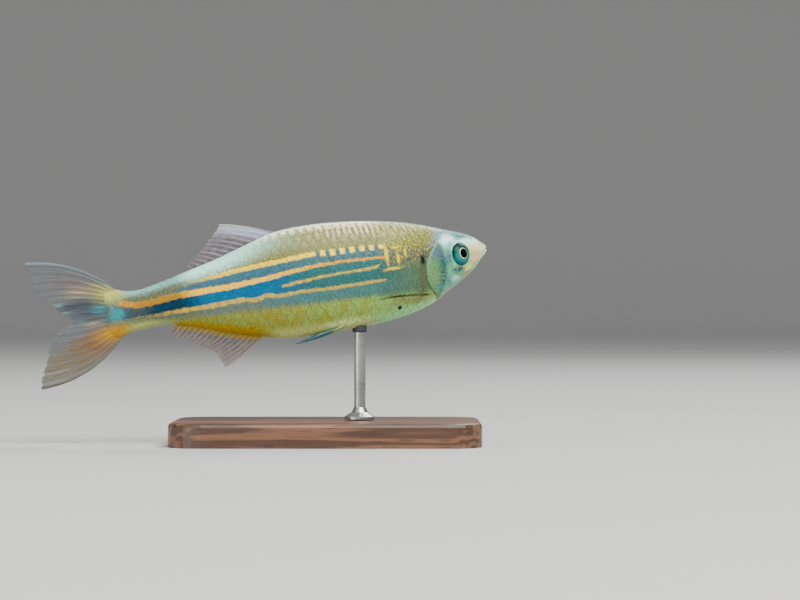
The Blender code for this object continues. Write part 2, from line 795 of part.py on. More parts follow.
def make_base(parts):
    """Make the flat base with round corners and eased edges."""
    shape = bmesh.new()
    bmesh.ops.create_cube(shape, size=1.0)
    bmesh.ops.scale(shape, vec=(BASE_LENGTH, BASE_WIDTH, BASE_THICKNESS), verts=shape.verts)
    bmesh.ops.translate(shape, vec=(0, 0, BASE_THICKNESS / 2), verts=shape.verts)
    upright = [edge for edge in shape.edges if edge.verts[0].co.z != edge.verts[1].co.z]
    bmesh.ops.bevel(shape, geom=upright, offset=BASE_CORNER, segments=BASE_CORNER_STEPS, profile=0.5,
                    affect="EDGES", material=-1)
    rim = [edge for edge in shape.edges if min(vertex.co.z for vertex in edge.verts) > BASE_THICKNESS - MERGE]
    bmesh.ops.bevel(shape, geom=rim, offset=BASE_EDGE, segments=BASE_EDGE_STEPS, profile=0.5,
                    affect="EDGES", material=-1)
    return make_object("stand_base", shape, parts)


def make_rod(torso, parts, cutters):
    """Make the rod, turned with a small foot and cut to the belly that it carries."""
    line = centre_line()
    belly = posed(Vector((ROD_PLACE, 0.0, section(ROD_PLACE)[BOTTOM])), line)
    low = BASE_THICKNESS + GAP
    top = belly.z + ROD_SINKS
    foot = low + ROD_FOOT_HEIGHT
    profile = ((0.0, top), (ROD_RADIUS, top), (ROD_RADIUS, foot + ROD_NECK_HEIGHT), (ROD_NECK_RADIUS, foot),
               (ROD_FOOT_RADIUS, low + ROD_FOOT_RIM), (ROD_FOOT_RADIUS, low), (0.0, low))
    shape = bmesh.new()
    corners = [shape.verts.new((radius, 0.0, height)) for radius, height in profile]
    edges = [shape.edges.new(pair) for pair in zip(corners, corners[1:])]
    bmesh.ops.spin(shape, geom=corners + edges, cent=(0, 0, 0), axis=(0, 0, 1), steps=ROD_SIDES,
                   angle=2 * math.pi, use_merge=True)
    bmesh.ops.remove_doubles(shape, verts=shape.verts, dist=MERGE)
    bmesh.ops.recalc_face_normals(shape, faces=shape.faces)
    bmesh.ops.translate(shape, vec=(belly.x, belly.y, 0.0), verts=shape.verts)
    rod = make_object("stand_rod", shape, parts)
    lowered = copy_object(torso, "lowered", cutters)
    for vertex in lowered.data.vertices:
        vertex.co.z -= GAP * MM
    combine(rod, [lowered], "DIFFERENCE")
    return keep_largest(rod)


def finish(thing, kind):
    """Give a piece its own material and smooth shading."""
    thing.data.materials.clear()
    thing.data.materials.append(make_material(thing.name, *FINISHES[kind]))
    thing.data.shade_smooth()
    thing.data.set_sharp_from_angle(angle=math.radians(SHARP_ANGLE))


def build():
    """Build the whole model."""
    for thing in list(bpy.data.objects):
        bpy.data.objects.remove(thing, do_unlink=True)
    parts = make_collection("giant danio on a stand")
    cutters = make_collection("cutters")
    flesh = make_body(parts, cutters)
    for word, side in (("right", -1.0), ("left", 1.0)):
        name = "gill_cover_" + word
        flesh[name] = make_gill_cover(name, side, parts, cutters)
    eyes = [make_eye("eye_right", -1.0, parts), make_eye("eye_left", 1.0, parts)]
    fins = make_fins(parts)
    pose_fish(list(flesh.values()) + eyes + fins)
    base = make_base(parts)
    rod = make_rod(flesh["torso"], parts, cutters)
    for thing in flesh.values():
        finish(thing, "flank")
    for thing in fins:
        finish(thing, "fin")
    for thing in eyes:
        finish(thing, "eye")
    finish(base, "base")
    finish(rod, "rod")


build()
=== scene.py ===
"""Looks of a giant danio display model: skin, scales, fins, eyes and the finish of its stand.

The fish is worked out straight along +X in mm, snout forward, with the end of its backbone at the origin.
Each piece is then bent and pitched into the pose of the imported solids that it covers.
"""

import math

import bmesh
import bpy
import numpy as np
from mathutils import Matrix, Vector


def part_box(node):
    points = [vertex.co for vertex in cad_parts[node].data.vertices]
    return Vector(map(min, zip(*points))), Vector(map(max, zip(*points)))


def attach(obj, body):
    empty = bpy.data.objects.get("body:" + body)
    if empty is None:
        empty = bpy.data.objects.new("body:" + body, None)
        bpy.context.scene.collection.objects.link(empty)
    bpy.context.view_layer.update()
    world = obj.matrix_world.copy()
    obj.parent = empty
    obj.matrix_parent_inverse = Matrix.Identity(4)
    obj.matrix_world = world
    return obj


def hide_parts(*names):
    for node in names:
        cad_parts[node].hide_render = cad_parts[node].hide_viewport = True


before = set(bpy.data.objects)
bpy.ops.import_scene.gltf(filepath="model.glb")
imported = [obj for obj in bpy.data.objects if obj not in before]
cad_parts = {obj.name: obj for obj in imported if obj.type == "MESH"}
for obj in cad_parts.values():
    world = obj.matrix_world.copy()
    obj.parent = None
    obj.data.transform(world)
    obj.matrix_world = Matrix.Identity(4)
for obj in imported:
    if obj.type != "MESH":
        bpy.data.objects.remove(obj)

bl_info = {
    "name": "Giant danio display model",
    "version": (1, 0, 0),
    "blender": (4, 5, 0),
    "location": "View3D > Sidebar > Danio",
    "description": "Builds the skin, scales, fins, eyes, stand finish and stage of a life-size giant danio",
    "category": "Object",
}

MM = 0.001
SEED = 7

# The body's sections: place from the tail base, top, bottom, half width,
# level of the widest point, fullness above it and fullness below it (2 is an ellipse)
LENGTH = 81.0
BODY_STATIONS = np.array((
    (0.0, 4.2, -5.9, 1.0, -0.9, 2.0, 2.0),
    (2.0, 3.5, -5.2, 1.5, -0.9, 2.0, 2.0),
    (5.0, 3.3, -4.95, 1.95, -0.8, 2.1, 2.1),
    (10.0, 4.2, -4.95, 2.4, -0.6, 2.1, 2.1),
    (16.0, 5.6, -6.5, 3.1, -0.5, 2.1, 2.1),
    (22.0, 7.05, -8.7, 3.8, -0.4, 2.1, 2.0),
    (28.0, 8.8, -10.45, 4.45, -0.1, 2.1, 2.0),
    (34.0, 10.5, -11.75, 5.0, 0.3, 2.1, 2.0),
    (42.0, 10.85, -11.95, 5.4, 0.5, 2.1, 2.0),
    (50.0, 10.25, -11.95, 5.5, 0.5, 2.15, 2.0),
    (57.0, 9.25, -11.4, 5.4, 0.3, 2.2, 2.0),
    (62.0, 8.25, -10.6, 5.2, 0.0, 2.3, 2.0),
    (66.0, 7.15, -9.4, 4.95, -0.3, 2.4, 2.0),
    (70.0, 5.85, -7.4, 4.5, -0.5, 2.5, 2.0),
    (74.0, 4.6, -5.5, 3.75, -0.4, 2.5, 2.0),
    (77.0, 3.5, -3.7, 2.75, -0.1, 2.4, 2.0),
    (80.0, 1.5, -1.2, 1.15, 0.2, 2.2, 2.0),
))
NOSE_START = 79.8
NOSE_TIP = 80.7
NOSE_LEVEL = 0.25
TAIL_TAPER = 2.6
TAIL_EDGE_HALF = 0.12
TAIL_EDGE_SHARE = 0.9

# Pose: heading in degrees by place along the body, pitch, and the place of the tail base
HEADINGS = np.array(((0.0, -3.0), (16.2, 0.0), (32.5, 5.0), (48.7, 15.0), (65.0, 27.0), (81.0, 31.0)))
HEADING_STEPS = 160
PITCH = 9.4
TAIL_BASE = np.array((-43.0, -3.4, 28.1))

# Head: side-view lines by place and height
GILL_LINE = (
    (70.4, 8.6), (68.9, 5.8), (67.5, 3.9), (66.1, 2.5), (64.9, 1.2), (63.8, -0.7), (63.3, -2.6),
    (63.3, -4.6), (63.9, -6.1), (65.0, -7.3), (66.4, -8.4), (67.8, -9.7), (68.8, -10.9),
)
GILL_OPENS_BELOW = 3.6
COVER_FRONT = ((67.2, -7.2), (67.9, -5.4), (68.2, -3.2), (68.25, -0.9), (67.9, 1.1), (67.3, 2.4))
COVER_LIFT = 0.3
COVER_LIFT_FROM = 68.2
COVER_LIFT_TO = 63.4
COVER_SUTURE = ((67.9, -5.6), (66.6, -6.2), (65.2, -5.9), (64.2, -5.0), (63.7, -3.8))
CHEEK_LINE = (
    (68.8, 2.4), (69.4, 0.3), (69.5, -1.9), (70.0, -3.7), (71.8, -4.6), (74.2, -4.1), (76.0, -2.9),
)
MOUTH_LINE = ((77.3, -1.85), (79.2, -0.5), (80.68, 0.25))
JAW_JOINT_LINE = ((77.3, -1.85), (76.1, -3.0), (75.3, -4.3))
LIP_CREASE = ((76.4, -0.9), (77.6, 0.2), (79.0, 1.0), (80.1, 1.3))
NOSTRILS = ((76.9, 38.0, 0.26), (76.2, 41.0, 0.34))

# Eyes
EYE_PLACE = 72.3
EYE_HEIGHT = -0.25
EYE_RADIUS = 2.34
EYE_HALF_DEPTH = 1.25
EYE_STANDS_OUT = 0.8
EYE_FACES_FORWARD = 9.0
EYE_FACES_UP = 5.0

# Colour lines along the flank: place, height and half width
UPPER_LINE = (
    (15.0, 2.8, 0.0), (18.0, 3.0, 0.3), (24.0, 3.6, 0.5), (30.3, 4.0, 0.5), (36.2, 4.3, 0.5),
    (41.3, 4.6, 0.5), (43.5, 4.35, 0.72), (50.6, 4.1, 0.62), (54.5, 3.8, 0.5), (55.6, 3.6, 0.0),
)
MAIN_LINE = (
    (-1.5, 1.0, 0.0), (0.0, 0.95, 0.4), (1.6, 0.75, 0.62), (5.1, 0.1, 0.72), (9.4, 0.4, 0.74),
    (13.7, 0.7, 0.7), (22.0, 0.7, 0.62), (29.9, 1.05, 0.55), (38.2, 1.85, 0.42), (45.3, 2.1, 0.36),
    (51.4, 1.8, 0.3), (54.8, 1.6, 0.28), (55.8, 1.5, 0.0),
)
MIDDLE_LINE = (
    (33.6, -1.1, 0.0), (34.7, -0.95, 0.3), (37.8, -0.65, 0.33), (41.8, -0.35, 0.3), (47.0, -0.3, 0.3),
    (52.4, -0.2, 0.34), (53.4, 0.1, 0.2), (53.8, 0.2, 0.0),
)
LOWER_LINE = (
    (1.5, -2.2, 0.0), (4.5, -2.4, 0.2), (8.0, -2.6, 0.35), (13.2, -2.5, 0.45), (17.4, -2.6, 0.5), (25.8, -2.4, 0.52),
    (28.3, -2.8, 0.45), (30.6, -2.35, 0.46), (33.4, -2.8, 0.42), (37.5, -2.7, 0.38), (43.5, -3.0, 0.36),
    (50.0, -3.05, 0.35), (53.8, -3.05, 0.3), (54.8, -3.05, 0.0),
)
BLUE_TOP = (
    (0.0, 0.9), (5.0, 0.6), (10.0, 1.2), (14.0, 2.0), (18.0, 2.9), (24.0, 3.6), (30.3, 4.0), (36.2, 4.3),
    (41.3, 4.6), (48.0, 4.2), (56.0, 3.8), (64.0, 2.4),
)
BLUE_BOTTOM = (
    (0.0, -3.2), (6.0, -3.3), (9.0, -3.9), (14.0, -4.1), (22.0, -4.5), (30.0, -4.9), (37.5, -5.3),
    (50.0, -5.9), (60.0, -6.4), (64.0, -6.6),
)

# Fins: rays, and root and edge by place and height
DORSAL_RAYS = 12
DORSAL_ROOT = (34.0, 16.4)
DORSAL_EDGE = ((23.4, 13.9), (22.9, 13.0), (21.5, 11.7), (19.5, 9.7), (17.5, 7.95), (15.4, 6.5))
ANAL_RAYS = 17
ANAL_ROOT = (28.6, 11.4)
ANAL_EDGE = (
    (19.9, -15.6), (19.3, -14.2), (18.4, -12.1), (16.6, -10.8), (14.5, -9.7), (12.6, -8.7), (11.1, -7.6),
    (9.9, -6.5),
)
CAUDAL_UPPER_RAYS = 10
CAUDAL_UPPER_ROOT = ((0.2, 4.1), (0.2, -1.03))
CAUDAL_UPPER_EDGE = (
    (-17.9, 12.6), (-17.4, 10.4), (-17.2, 7.7), (-16.0, 5.5), (-14.1, 3.55), (-12.5, 1.6), (-10.6, -0.1),
    (-9.3, -1.3),
)
CAUDAL_LOWER_RAYS = 9
CAUDAL_LOWER_ROOT = ((0.2, -5.75), (0.2, -1.03))
CAUDAL_LOWER_EDGE = (
    (-18.6, -13.9), (-18.3, -12.3), (-17.4, -10.3), (-16.3, -8.1), (-15.0, -4.7), (-13.2, -2.8), (-11.2, -1.9),
    (-9.3, -1.3),
)
PECTORAL_RAYS = 12
PECTORAL_ROOT = ((62.8, -38.5, 0.0), (61.9, -52.0, 0.0))
PECTORAL_TIPS = ((51.0, -35.5, 0.9), (51.9, -40.0, 1.0), (54.6, -46.0, 0.9), (58.4, -51.5, 0.6))
PELVIC_RAYS = 8
PELVIC_ROOT = ((45.6, -66.0, 0.0), (44.0, -80.0, 0.0))
PELVIC_TIPS = ((35.1, -75.0, 1.7), (35.9, -77.5, 1.4), (37.6, -80.0, 1.0), (39.6, -83.0, 0.6))


def interpolate(stations, column, place):
    """Read one column of the stations at each place, on a smooth curve through all of them."""
    x, y = stations[:, 0], stations[:, column]
    last = len(x) - 2
    index = np.searchsorted(x[1:-1], place, side="left")
    before, after = np.maximum(index - 1, 0), np.minimum(index + 2, last + 1)
    width = x[index + 1] - x[index]
    share = np.clip((place - x[index]) / width, 0.0, 1.0)
    slope_left = (y[index + 1] - y[before]) / (x[index + 1] - x[before]) * width
    slope_right = (y[after] - y[index]) / (x[after] - x[index]) * width
    cubed, squared = share ** 3, share ** 2
    return (
        (2 * cubed - 3 * squared + 1) * y[index]
        + (cubed - 2 * squared + share) * slope_left
        + (3 * squared - 2 * cubed) * y[index + 1]
        + (cubed - squared) * slope_right
    )


def smooth_step(low, high, value):
    """Rise from 0 at low to 1 at high with level ends."""
    share = np.clip((value - low) / (high - low), 0.0, 1.0)
    return share * share * (3 - 2 * share)


def bump_at(value, centre, width):
    """Rise to 1 where the value is at the centre, and fall off over the width."""
    return np.exp(-(((value - centre) / width) ** 2))


def curve_through(points):
    """Return a function of a share from 0 to 1 that runs smoothly through the points."""
    points = np.array(points, float)
    lengths = np.concatenate(((0.0,), np.cumsum(np.linalg.norm(np.diff(points, axis=0), axis=1))))
    stations = np.column_stack((lengths / lengths[-1], points))

    def curve(share):
        inside = np.clip(share, 0.0, 1.0)
        return np.stack([interpolate(stations, column, inside) for column in range(1, stations.shape[1])], -1)
    return curve


def section(place):
    """Give top, bottom, half width, level, crown and keel of the body at each place."""
    flesh = np.minimum(place, NOSE_START)
    top, bottom, half, level, crown, keel = (
        interpolate(BODY_STATIONS, column, flesh) for column in range(1, BODY_STATIONS.shape[1])
    )
    reach = np.maximum(place - NOSE_START, 0.0) / (NOSE_TIP - NOSE_START)
    rounding = np.sqrt(np.clip(1.0 - reach ** 2, 0.0, 1.0))
    top, bottom, level = (NOSE_LEVEL + (size - NOSE_LEVEL) * rounding for size in (top, bottom, level))
    past = np.clip(-place / TAIL_TAPER, 0.0, 1.0)
    top, bottom = (level + (size - level) * (1.0 - (1.0 - TAIL_EDGE_SHARE) * past ** 2) for size in (top, bottom))
    half = TAIL_EDGE_HALF + (half - TAIL_EDGE_HALF) * (1.0 - past ** 2)
    return top, bottom, half * rounding, level, crown, keel


def skin_points(place, angle):
    """Give points of the body's surface at places and angles up from the left side."""
    place, angle = np.broadcast_arrays(np.asarray(place, float), np.asarray(angle, float))
    top, bottom, half, level, crown, keel = section(place)
    across, up = np.cos(np.radians(angle)), np.sin(np.radians(angle))
    fullness = np.where(up >= 0, crown, keel)
    height = np.where(up >= 0, top - level, level - bottom)
    y = np.copysign(np.abs(across) ** (2 / fullness), across) * half
    z = level + np.copysign(np.abs(up) ** (2 / fullness), up) * height
    return np.stack((place, y, z), -1)


def skin_normals(place, angle):
    """Give the outward directions of the body's surface."""
    along = skin_points(place + 0.1, angle) - skin_points(place - 0.1, angle)
    around = skin_points(place, angle + 1.0) - skin_points(place, angle - 1.0)
    normal = np.cross(around, along)
    return normal / np.linalg.norm(normal, axis=-1, keepdims=True)


def skin_angle(place, height):
    """Give the angles on the left side at which the body's surface has these heights."""
    top, bottom, _, level, crown, keel = section(place)
    above = np.clip((height - level) / (top - level), 0.0, 1.0) ** (crown / 2)
    below = np.clip((level - height) / (level - bottom), 0.0, 1.0) ** (keel / 2)
    return np.degrees(np.arcsin(above - below))


def lie_of(points):
    """Give place, height and height as a share of the way to the back or the belly, for the markings."""
    place = np.clip(points[..., 0], 0.0, NOSE_TIP - 0.05)
    top, bottom, _, level, _, _ = section(place)
    height = points[..., 2]
    share = np.where(height > level, (height - level) / (top - level), (height - level) / (level - bottom))
    return np.stack((points[..., 0], height, np.clip(share, -1.2, 1.2)), -1)


def centre_line():
    """Give place, X, Y and heading along the bent centre line, in mm and radians."""
    place = np.linspace(0.0, LENGTH, HEADING_STEPS + 1)
    heading = np.radians(interpolate(HEADINGS, 1, place))
    middle = (heading[1:] + heading[:-1]) / 2
    step = LENGTH / HEADING_STEPS
    x = np.concatenate(((0.0,), np.cumsum(np.cos(middle) * step)))
    y = np.concatenate(((0.0,), np.cumsum(np.sin(middle) * step)))
    return place, x, y, heading


CENTRE_LINE = centre_line()


def posed(points):
    """Carry points of the straight fish into the pose, from mm to metres."""
    places, *values = CENTRE_LINE
    at = np.clip(points[..., 0], 0.0, LENGTH)
    x, y, heading = (np.interp(at, places, value) for value in values)
    beyond = points[..., 0] - at
    x = x + np.cos(heading) * beyond - np.sin(heading) * points[..., 1]
    y = y + np.sin(heading) * beyond + np.cos(heading) * points[..., 1]
    pitch = math.radians(PITCH)
    turned = (
        x * math.cos(pitch) - points[..., 2] * math.sin(pitch),
        y,
        x * math.sin(pitch) + points[..., 2] * math.cos(pitch),
    )
    return (np.stack(turned, -1) + TAIL_BASE) * MM


def line_distance(points, line):
    """Give signed distances from a side-view line: positive to the left of its direction."""
    line = np.array(line, float)
    start, run = line[:-1], np.diff(line, axis=0)
    best = np.full(len(points), 1e9)
    signed = np.zeros(len(points))
    for (ax, az), (dx, dz) in zip(start, run):
        offset_x, offset_z = points[:, 0] - ax, points[:, 1] - az
        share = np.clip((offset_x * dx + offset_z * dz) / (dx * dx + dz * dz), 0.0, 1.0)
        distance = np.hypot(offset_x - share * dx, offset_z - share * dz)
        nearer = distance < best
        best = np.where(nearer, distance, best)
        signed = np.where(nearer, np.copysign(distance, dx * offset_z - dz * offset_x), signed)
    return signed


def smooth_line(points, steps):
    """Put smooth points between the given ones."""
    return curve_through(points)(np.linspace(0.0, 1.0, (len(points) - 1) * steps + 1))


def mesh_points(mesh):
    """Read the mesh's points as an array."""
    points = np.empty(len(mesh.vertices) * 3)
    mesh.vertices.foreach_get("co", points)
    return points.reshape(-1, 3)


def mesh_normals(mesh):
    """Read the directions of the mesh's surface at its points."""
    normals = np.empty(len(mesh.vertices) * 3)
    mesh.vertex_normals.foreach_get("vector", normals)
    return normals.reshape(-1, 3)


def move_points(mesh, points):
    """Set the mesh's points from an array."""
    mesh.vertices.foreach_set("co", np.ascontiguousarray(points, float).ravel())
    mesh.update()


def keep_values(mesh, name, values):
    """Keep a vector for each point of the mesh, for its material to read."""
    attribute = mesh.attributes.new(name, "FLOAT_VECTOR", "POINT")
    attribute.data.foreach_set("vector", np.ascontiguousarray(values, float).ravel())


def bake_map(mesh, values):
    """Lay the piece out for baking, from a place in the map for each point."""
    layer = mesh.uv_layers.new(name="OFBake")
    corners = np.empty(len(mesh.loops), int)
    mesh.loops.foreach_get("vertex_index", corners)
    layer.data.foreach_set("uv", values[corners].ravel())


def mesh_from(shape, name):
    """Turn a bmesh into a mesh."""
    mesh = bpy.data.meshes.new(name)
    shape.to_mesh(mesh)
    shape.free()
    return mesh


def add_piece(name, mesh, material, nodes=()):
    """Add a finished mesh as a piece that rides on the model and stands for its nodes."""
    mesh.materials.append(material)
    mesh.shade_smooth()
    piece = bpy.data.objects.new(name, mesh)
    bpy.context.scene.collection.objects.link(piece)
    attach(piece, "root")
    if nodes:
        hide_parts(*nodes)
    return piece


# Materials: small helpers that add one node each and return the socket it puts out


def tone(red, green, blue):
    """Turn a screen colour from 0 to 255 into the shader's linear colour."""
    shares = [value / 255 for value in (red, green, blue)]
    return tuple(share / 12.92 if share <= 0.04045 else ((share + 0.055) / 1.055) ** 2.4 for share in shares)


def feed(tree, socket, value):
    """Link a socket to another, or set its value."""
    if isinstance(value, bpy.types.NodeSocket):
        tree.links.new(value, socket)
    elif socket.type == "RGBA":
        socket.default_value = (*value[:3], 1.0)
    else:
        socket.default_value = value


def maths(tree, operation, *values, clamp=False):
    """Add a maths node."""
    node = tree.nodes.new("ShaderNodeMath")
    node.operation = operation
    node.use_clamp = clamp
    for socket, value in zip(node.inputs, values):
        feed(tree, socket, value)
    return node.outputs[0]


def product(tree, *values):
    """Multiply several values."""
    total = values[0]
    for value in values[1:]:
        total = maths(tree, "MULTIPLY", total, value)
    return total


def ramp(tree, value, low, high, start=0.0, end=1.0):
    """Rise smoothly from start at low to end at high."""
    node = tree.nodes.new("ShaderNodeMapRange")
    node.interpolation_type = "SMOOTHSTEP"
    for name, number in (("Value", value), ("From Min", low), ("From Max", high), ("To Min", start), ("To Max", end)):
        feed(tree, node.inputs[name], number)
    return node.outputs["Result"]


def blend(tree, share, under, over, mode="MIX"):
    """Lay one colour over another."""
    node = tree.nodes.new("ShaderNodeMix")
    node.data_type = "RGBA"
    node.blend_type = mode
    feed(tree, node.inputs["Factor"], share)
    feed(tree, node.inputs[6], under)
    feed(tree, node.inputs[7], over)
    return node.outputs[2]


def split(tree, vector):
    """Part a vector into its three numbers."""
    node = tree.nodes.new("ShaderNodeSeparateXYZ")
    feed(tree, node.inputs[0], vector)
    return node.outputs[0], node.outputs[1], node.outputs[2]


def join(tree, x, y, z):
    """Make a vector of three numbers."""
    node = tree.nodes.new("ShaderNodeCombineXYZ")
    for socket, value in zip(node.inputs, (x, y, z)):
        feed(tree, socket, value)
    return node.outputs[0]


def kept(tree, name):
    """Read the vector that a piece keeps for each of its points."""
    node = tree.nodes.new("ShaderNodeAttribute")
    node.attribute_name = name
    return node.outputs["Vector"]


def noise(tree, vector, scale, detail=2.0, roughness=0.5):
    """Add a noise pattern."""
    node = tree.nodes.new("ShaderNodeTexNoise")
    feed(tree, node.inputs["Vector"], vector)
    node.inputs["Scale"].default_value = scale
    node.inputs["Detail"].default_value = detail
    node.inputs["Roughness"].default_value = roughness
    return node.outputs["Fac"]


def scaled(tree, vector, x, y, z):
    """Stretch a vector."""
    node = tree.nodes.new("ShaderNodeMapping")
    feed(tree, node.inputs["Vector"], vector)
    node.inputs["Scale"].default_value = (x, y, z)
    return node.outputs[0]


def drawn(tree, value, points, low=-10.0, high=10.0):
    """Read a drawn curve of height by place, given as points in mm."""
    first, last = points[0][0], points[-1][0]
    node = tree.nodes.new("ShaderNodeFloatCurve")
    share = maths(tree, "DIVIDE", maths(tree, "SUBTRACT", value, first), last - first, clamp=True)
    feed(tree, node.inputs["Value"], share)
    curve = node.mapping.curves[0]
    while len(curve.points) < len(points):
        curve.points.new(0.5, 0.5)
    for point, (place, height) in zip(curve.points, points):
        point.location = ((place - first) / (last - first), (height - low) / (high - low))
        point.handle_type = "AUTO_CLAMPED"
    node.mapping.update()
    return maths(tree, "MULTIPLY_ADD", node.outputs[0], high - low, low)


def spot(tree, place, height, centre, reach, soft=0.5):
    """Mark an oval round a centre by place and height: 1 inside and 0 outside."""
    across = maths(tree, "DIVIDE", maths(tree, "SUBTRACT", place, centre[0]), reach[0])
    up = maths(tree, "DIVIDE", maths(tree, "SUBTRACT", height, centre[1]), reach[1])
    distance = maths(tree, "SQRT", maths(tree, "ADD", maths(tree, "POWER", across, 2.0), maths(tree, "POWER", up, 2.0)))
    return ramp(tree, distance, 1.0 + soft, 1.0 - soft)


def colour_line(tree, place, height, line, soft=0.2):
    """Mark a line of colour along the flank, from its table of place, height and half width."""
    centre = drawn(tree, place, [(point[0], point[1]) for point in line])
    half = drawn(tree, place, [(point[0], point[2]) for point in line], 0.0, 1.0)
    away = maths(tree, "ABSOLUTE", maths(tree, "SUBTRACT", height, centre))
    inside = maths(tree, "SUBTRACT", maths(tree, "SUBTRACT", half, 0.05), away)
    return product(tree, ramp(tree, inside, -soft, soft), ramp(tree, half, 0.02, 0.15))


def new_group(name, inputs, outputs):
    """Start a shader node group with named sockets, and give it with its input and output nodes."""
    group = bpy.data.node_groups.new(name, "ShaderNodeTree")
    for socket, kind in inputs:
        group.interface.new_socket(name=socket, in_out="INPUT", socket_type=kind)
    for socket, kind in outputs:
        group.interface.new_socket(name=socket, in_out="OUTPUT", socket_type=kind)
    return group, group.nodes.new("NodeGroupInput"), group.nodes.new("NodeGroupOutput")


def use_group(tree, name, **values):
    """Place a node group in a material."""
    node = tree.nodes.new("ShaderNodeGroup")
    node.node_tree = bpy.data.node_groups[name]
    for socket, value in values.items():
        feed(tree, node.inputs[socket], value)
    return node


def new_material(name):
    """Start a material and give its tree and shader."""
    material = bpy.data.materials.new(name)
    material.use_nodes = True
    return material, material.node_tree, material.node_tree.nodes["Principled BSDF"]


def bumped(tree, height, strength, distance):
    """Turn a height pattern into a surface direction."""
    node = tree.nodes.new("ShaderNodeBump")
    node.inputs["Strength"].default_value = strength
    node.inputs["Distance"].default_value = distance
    feed(tree, node.inputs["Height"], height)
    return node.outputs["Normal"]


def markings_group(colours):
    """Make the group that paints the flank, shared by the skin and its scales."""
    group, source, result = new_group(
        "danio markings",
        (("Lie", "NodeSocketVector"),),
        (("Colour", "NodeSocketColor"), ("Shine", "NodeSocketFloat")),
    )
    lie = source.outputs["Lie"]
    place, height, share = split(group, lie)
    flat = join(group, place, height, 0.0)
    fine = noise(group, flat, 2.4, 3.0, 0.6)
    broad = noise(group, flat, 0.35, 2.0)
    wobble = maths(group, "MULTIPLY", maths(group, "SUBTRACT", noise(group, flat, 0.55, 2.0), 0.5), 0.9)
    wavy = maths(group, "ADD", height, wobble)

    # Ground colours from the back down to the belly, with painted highlights along the back and on the belly
    front = ramp(group, place, 30.0, 58.0)
    ground = blend(group, ramp(group, place, 14.0, 34.0), colours.flank_rear, colours.flank)
    ground = blend(group, maths(group, "MULTIPLY", ramp(group, fine, 0.45, 0.62), 0.5), ground, colours.flank_light)
    speck = noise(group, flat, 4.6, 2.0, 0.6)
    ground = blend(group, maths(group, "MULTIPLY", ramp(group, speck, 0.56, 0.4), 0.5), ground, colours.olive_dark)
    light_top = product(group, ramp(group, share, 0.8, 0.92), ramp(group, place, 26.0, 38.0), 0.2)
    ground = blend(group, light_top, ground, colours.cream)
    # Pale band along the back: pale skin with a painted highlight of the light from above
    back = ramp(group, share, 0.92, 0.97)
    pale_back_and_highlight = blend(group, ramp(group, place, 52.0, 63.0), colours.back, colours.nape)
    ground = blend(group, back, ground, pale_back_and_highlight)
    ragged_share = maths(group, "MULTIPLY_ADD", maths(group, "SUBTRACT", fine, 0.5), 0.5, share)
    # Pale mint down the rear back: a painted highlight of the light from above on the pale back
    pale_tail_and_highlight = product(group, ramp(group, ragged_share, 0.45, 0.85), ramp(group, place, 41.0, 20.0))
    ground = blend(group, pale_tail_and_highlight, ground, colours.rear_back_and_highlight)
    row = maths(group, "SINE", maths(group, "MULTIPLY_ADD", broad, 3.0, maths(group, "MULTIPLY", place, 2 * math.pi / 1.8)))
    blotches = product(
        group, ramp(group, row, -0.7, 0.1), ramp(group, ragged_share, 0.85, 0.92), ramp(group, share, 0.985, 0.96),
        ramp(group, place, 24.0, 36.0), ramp(group, place, 57.0, 49.0),
    )
    tick = maths(group, "SINE", maths(group, "MULTIPLY_ADD", fine, 5.0, maths(group, "MULTIPLY", place, 2 * math.pi / 1.15)))
    ticks = product(
        group, ramp(group, tick, -0.2, 0.7), ramp(group, ragged_share, 0.6, 0.84), ramp(group, share, 0.98, 0.94),
        ramp(group, place, 38.0, 52.0), ramp(group, place, 68.0, 60.0), 0.7,
    )
    pale_marks = maths(group, "MAXIMUM", blotches, ticks)
    ground = blend(group, maths(group, "MULTIPLY", pale_marks, 0.85), ground, colours.cream)
    dull = product(group, ramp(group, place, 17.0, 12.0), ramp(group, share, 0.3, 0.6), 0.6)
    ground = blend(group, dull, ground, colours.back_tail)
    strip = product(
        group, ramp(group, share, 0.1, 0.3), ramp(group, ragged_share, 0.85, 0.6), ramp(group, place, 19.0, 11.0),
    )
    ground = blend(group, maths(group, "MULTIPLY", strip, 0.62), ground, colours.olive_tail)

    patchy = noise(group, flat, 1.2, 3.0, 0.6)
    belly_height = drawn(group, place, BLUE_BOTTOM)
    below = ramp(group, maths(group, "SUBTRACT", wavy, belly_height), 0.9, -0.9)
    belly = blend(group, front, colours.belly_rear, colours.belly_front)
    belly = blend(group, maths(group, "MULTIPLY", ramp(group, broad, 0.42, 0.62), 0.5), belly, colours.belly_gold)
    belly = blend(group, maths(group, "MULTIPLY", ramp(group, speck, 0.58, 0.4), 0.5), belly, colours.belly_shade)
    golden = product(group, ramp(group, noise(group, flat, 3.1, 2.0, 0.5), 0.44, 0.64), ramp(group, place, 60.0, 46.0, 0.3, 0.6))
    belly = blend(group, golden, belly, colours.belly_gold)
    ground = blend(group, below, ground, belly)
    mint = product(group, ramp(group, share, -0.72, -0.98), ramp(group, place, 44.0, 56.0))
    ground = blend(group, mint, ground, colours.belly_edge)
    low = product(
        group, ramp(group, share, -0.76, -0.94), ramp(group, place, 25.0, 34.0), ramp(group, place, 56.0, 47.0), 0.9,
    )
    ground = blend(group, low, ground, colours.belly_low)
    ochre = product(
        group, ramp(group, share, -0.74, -0.9), ramp(group, place, 10.0, 15.0), ramp(group, place, 33.0, 26.0),
    )
    ground = blend(group, ochre, ground, colours.anal_base)
    # Painted highlight: a bright patch on the belly above the pelvic fins
    belly_highlight = product(group, spot(group, place, height, (45.5, -10.5), (4.0, 0.7), 0.7), ramp(group, patchy, 0.42, 0.58), 0.7)
    ground = blend(group, belly_highlight, ground, colours.belly_painted_highlight)
    stalk = product(group, ramp(group, share, -0.55, -0.8), ramp(group, place, 13.0, 9.0))
    ground = blend(group, stalk, ground, colours.stalk_under)

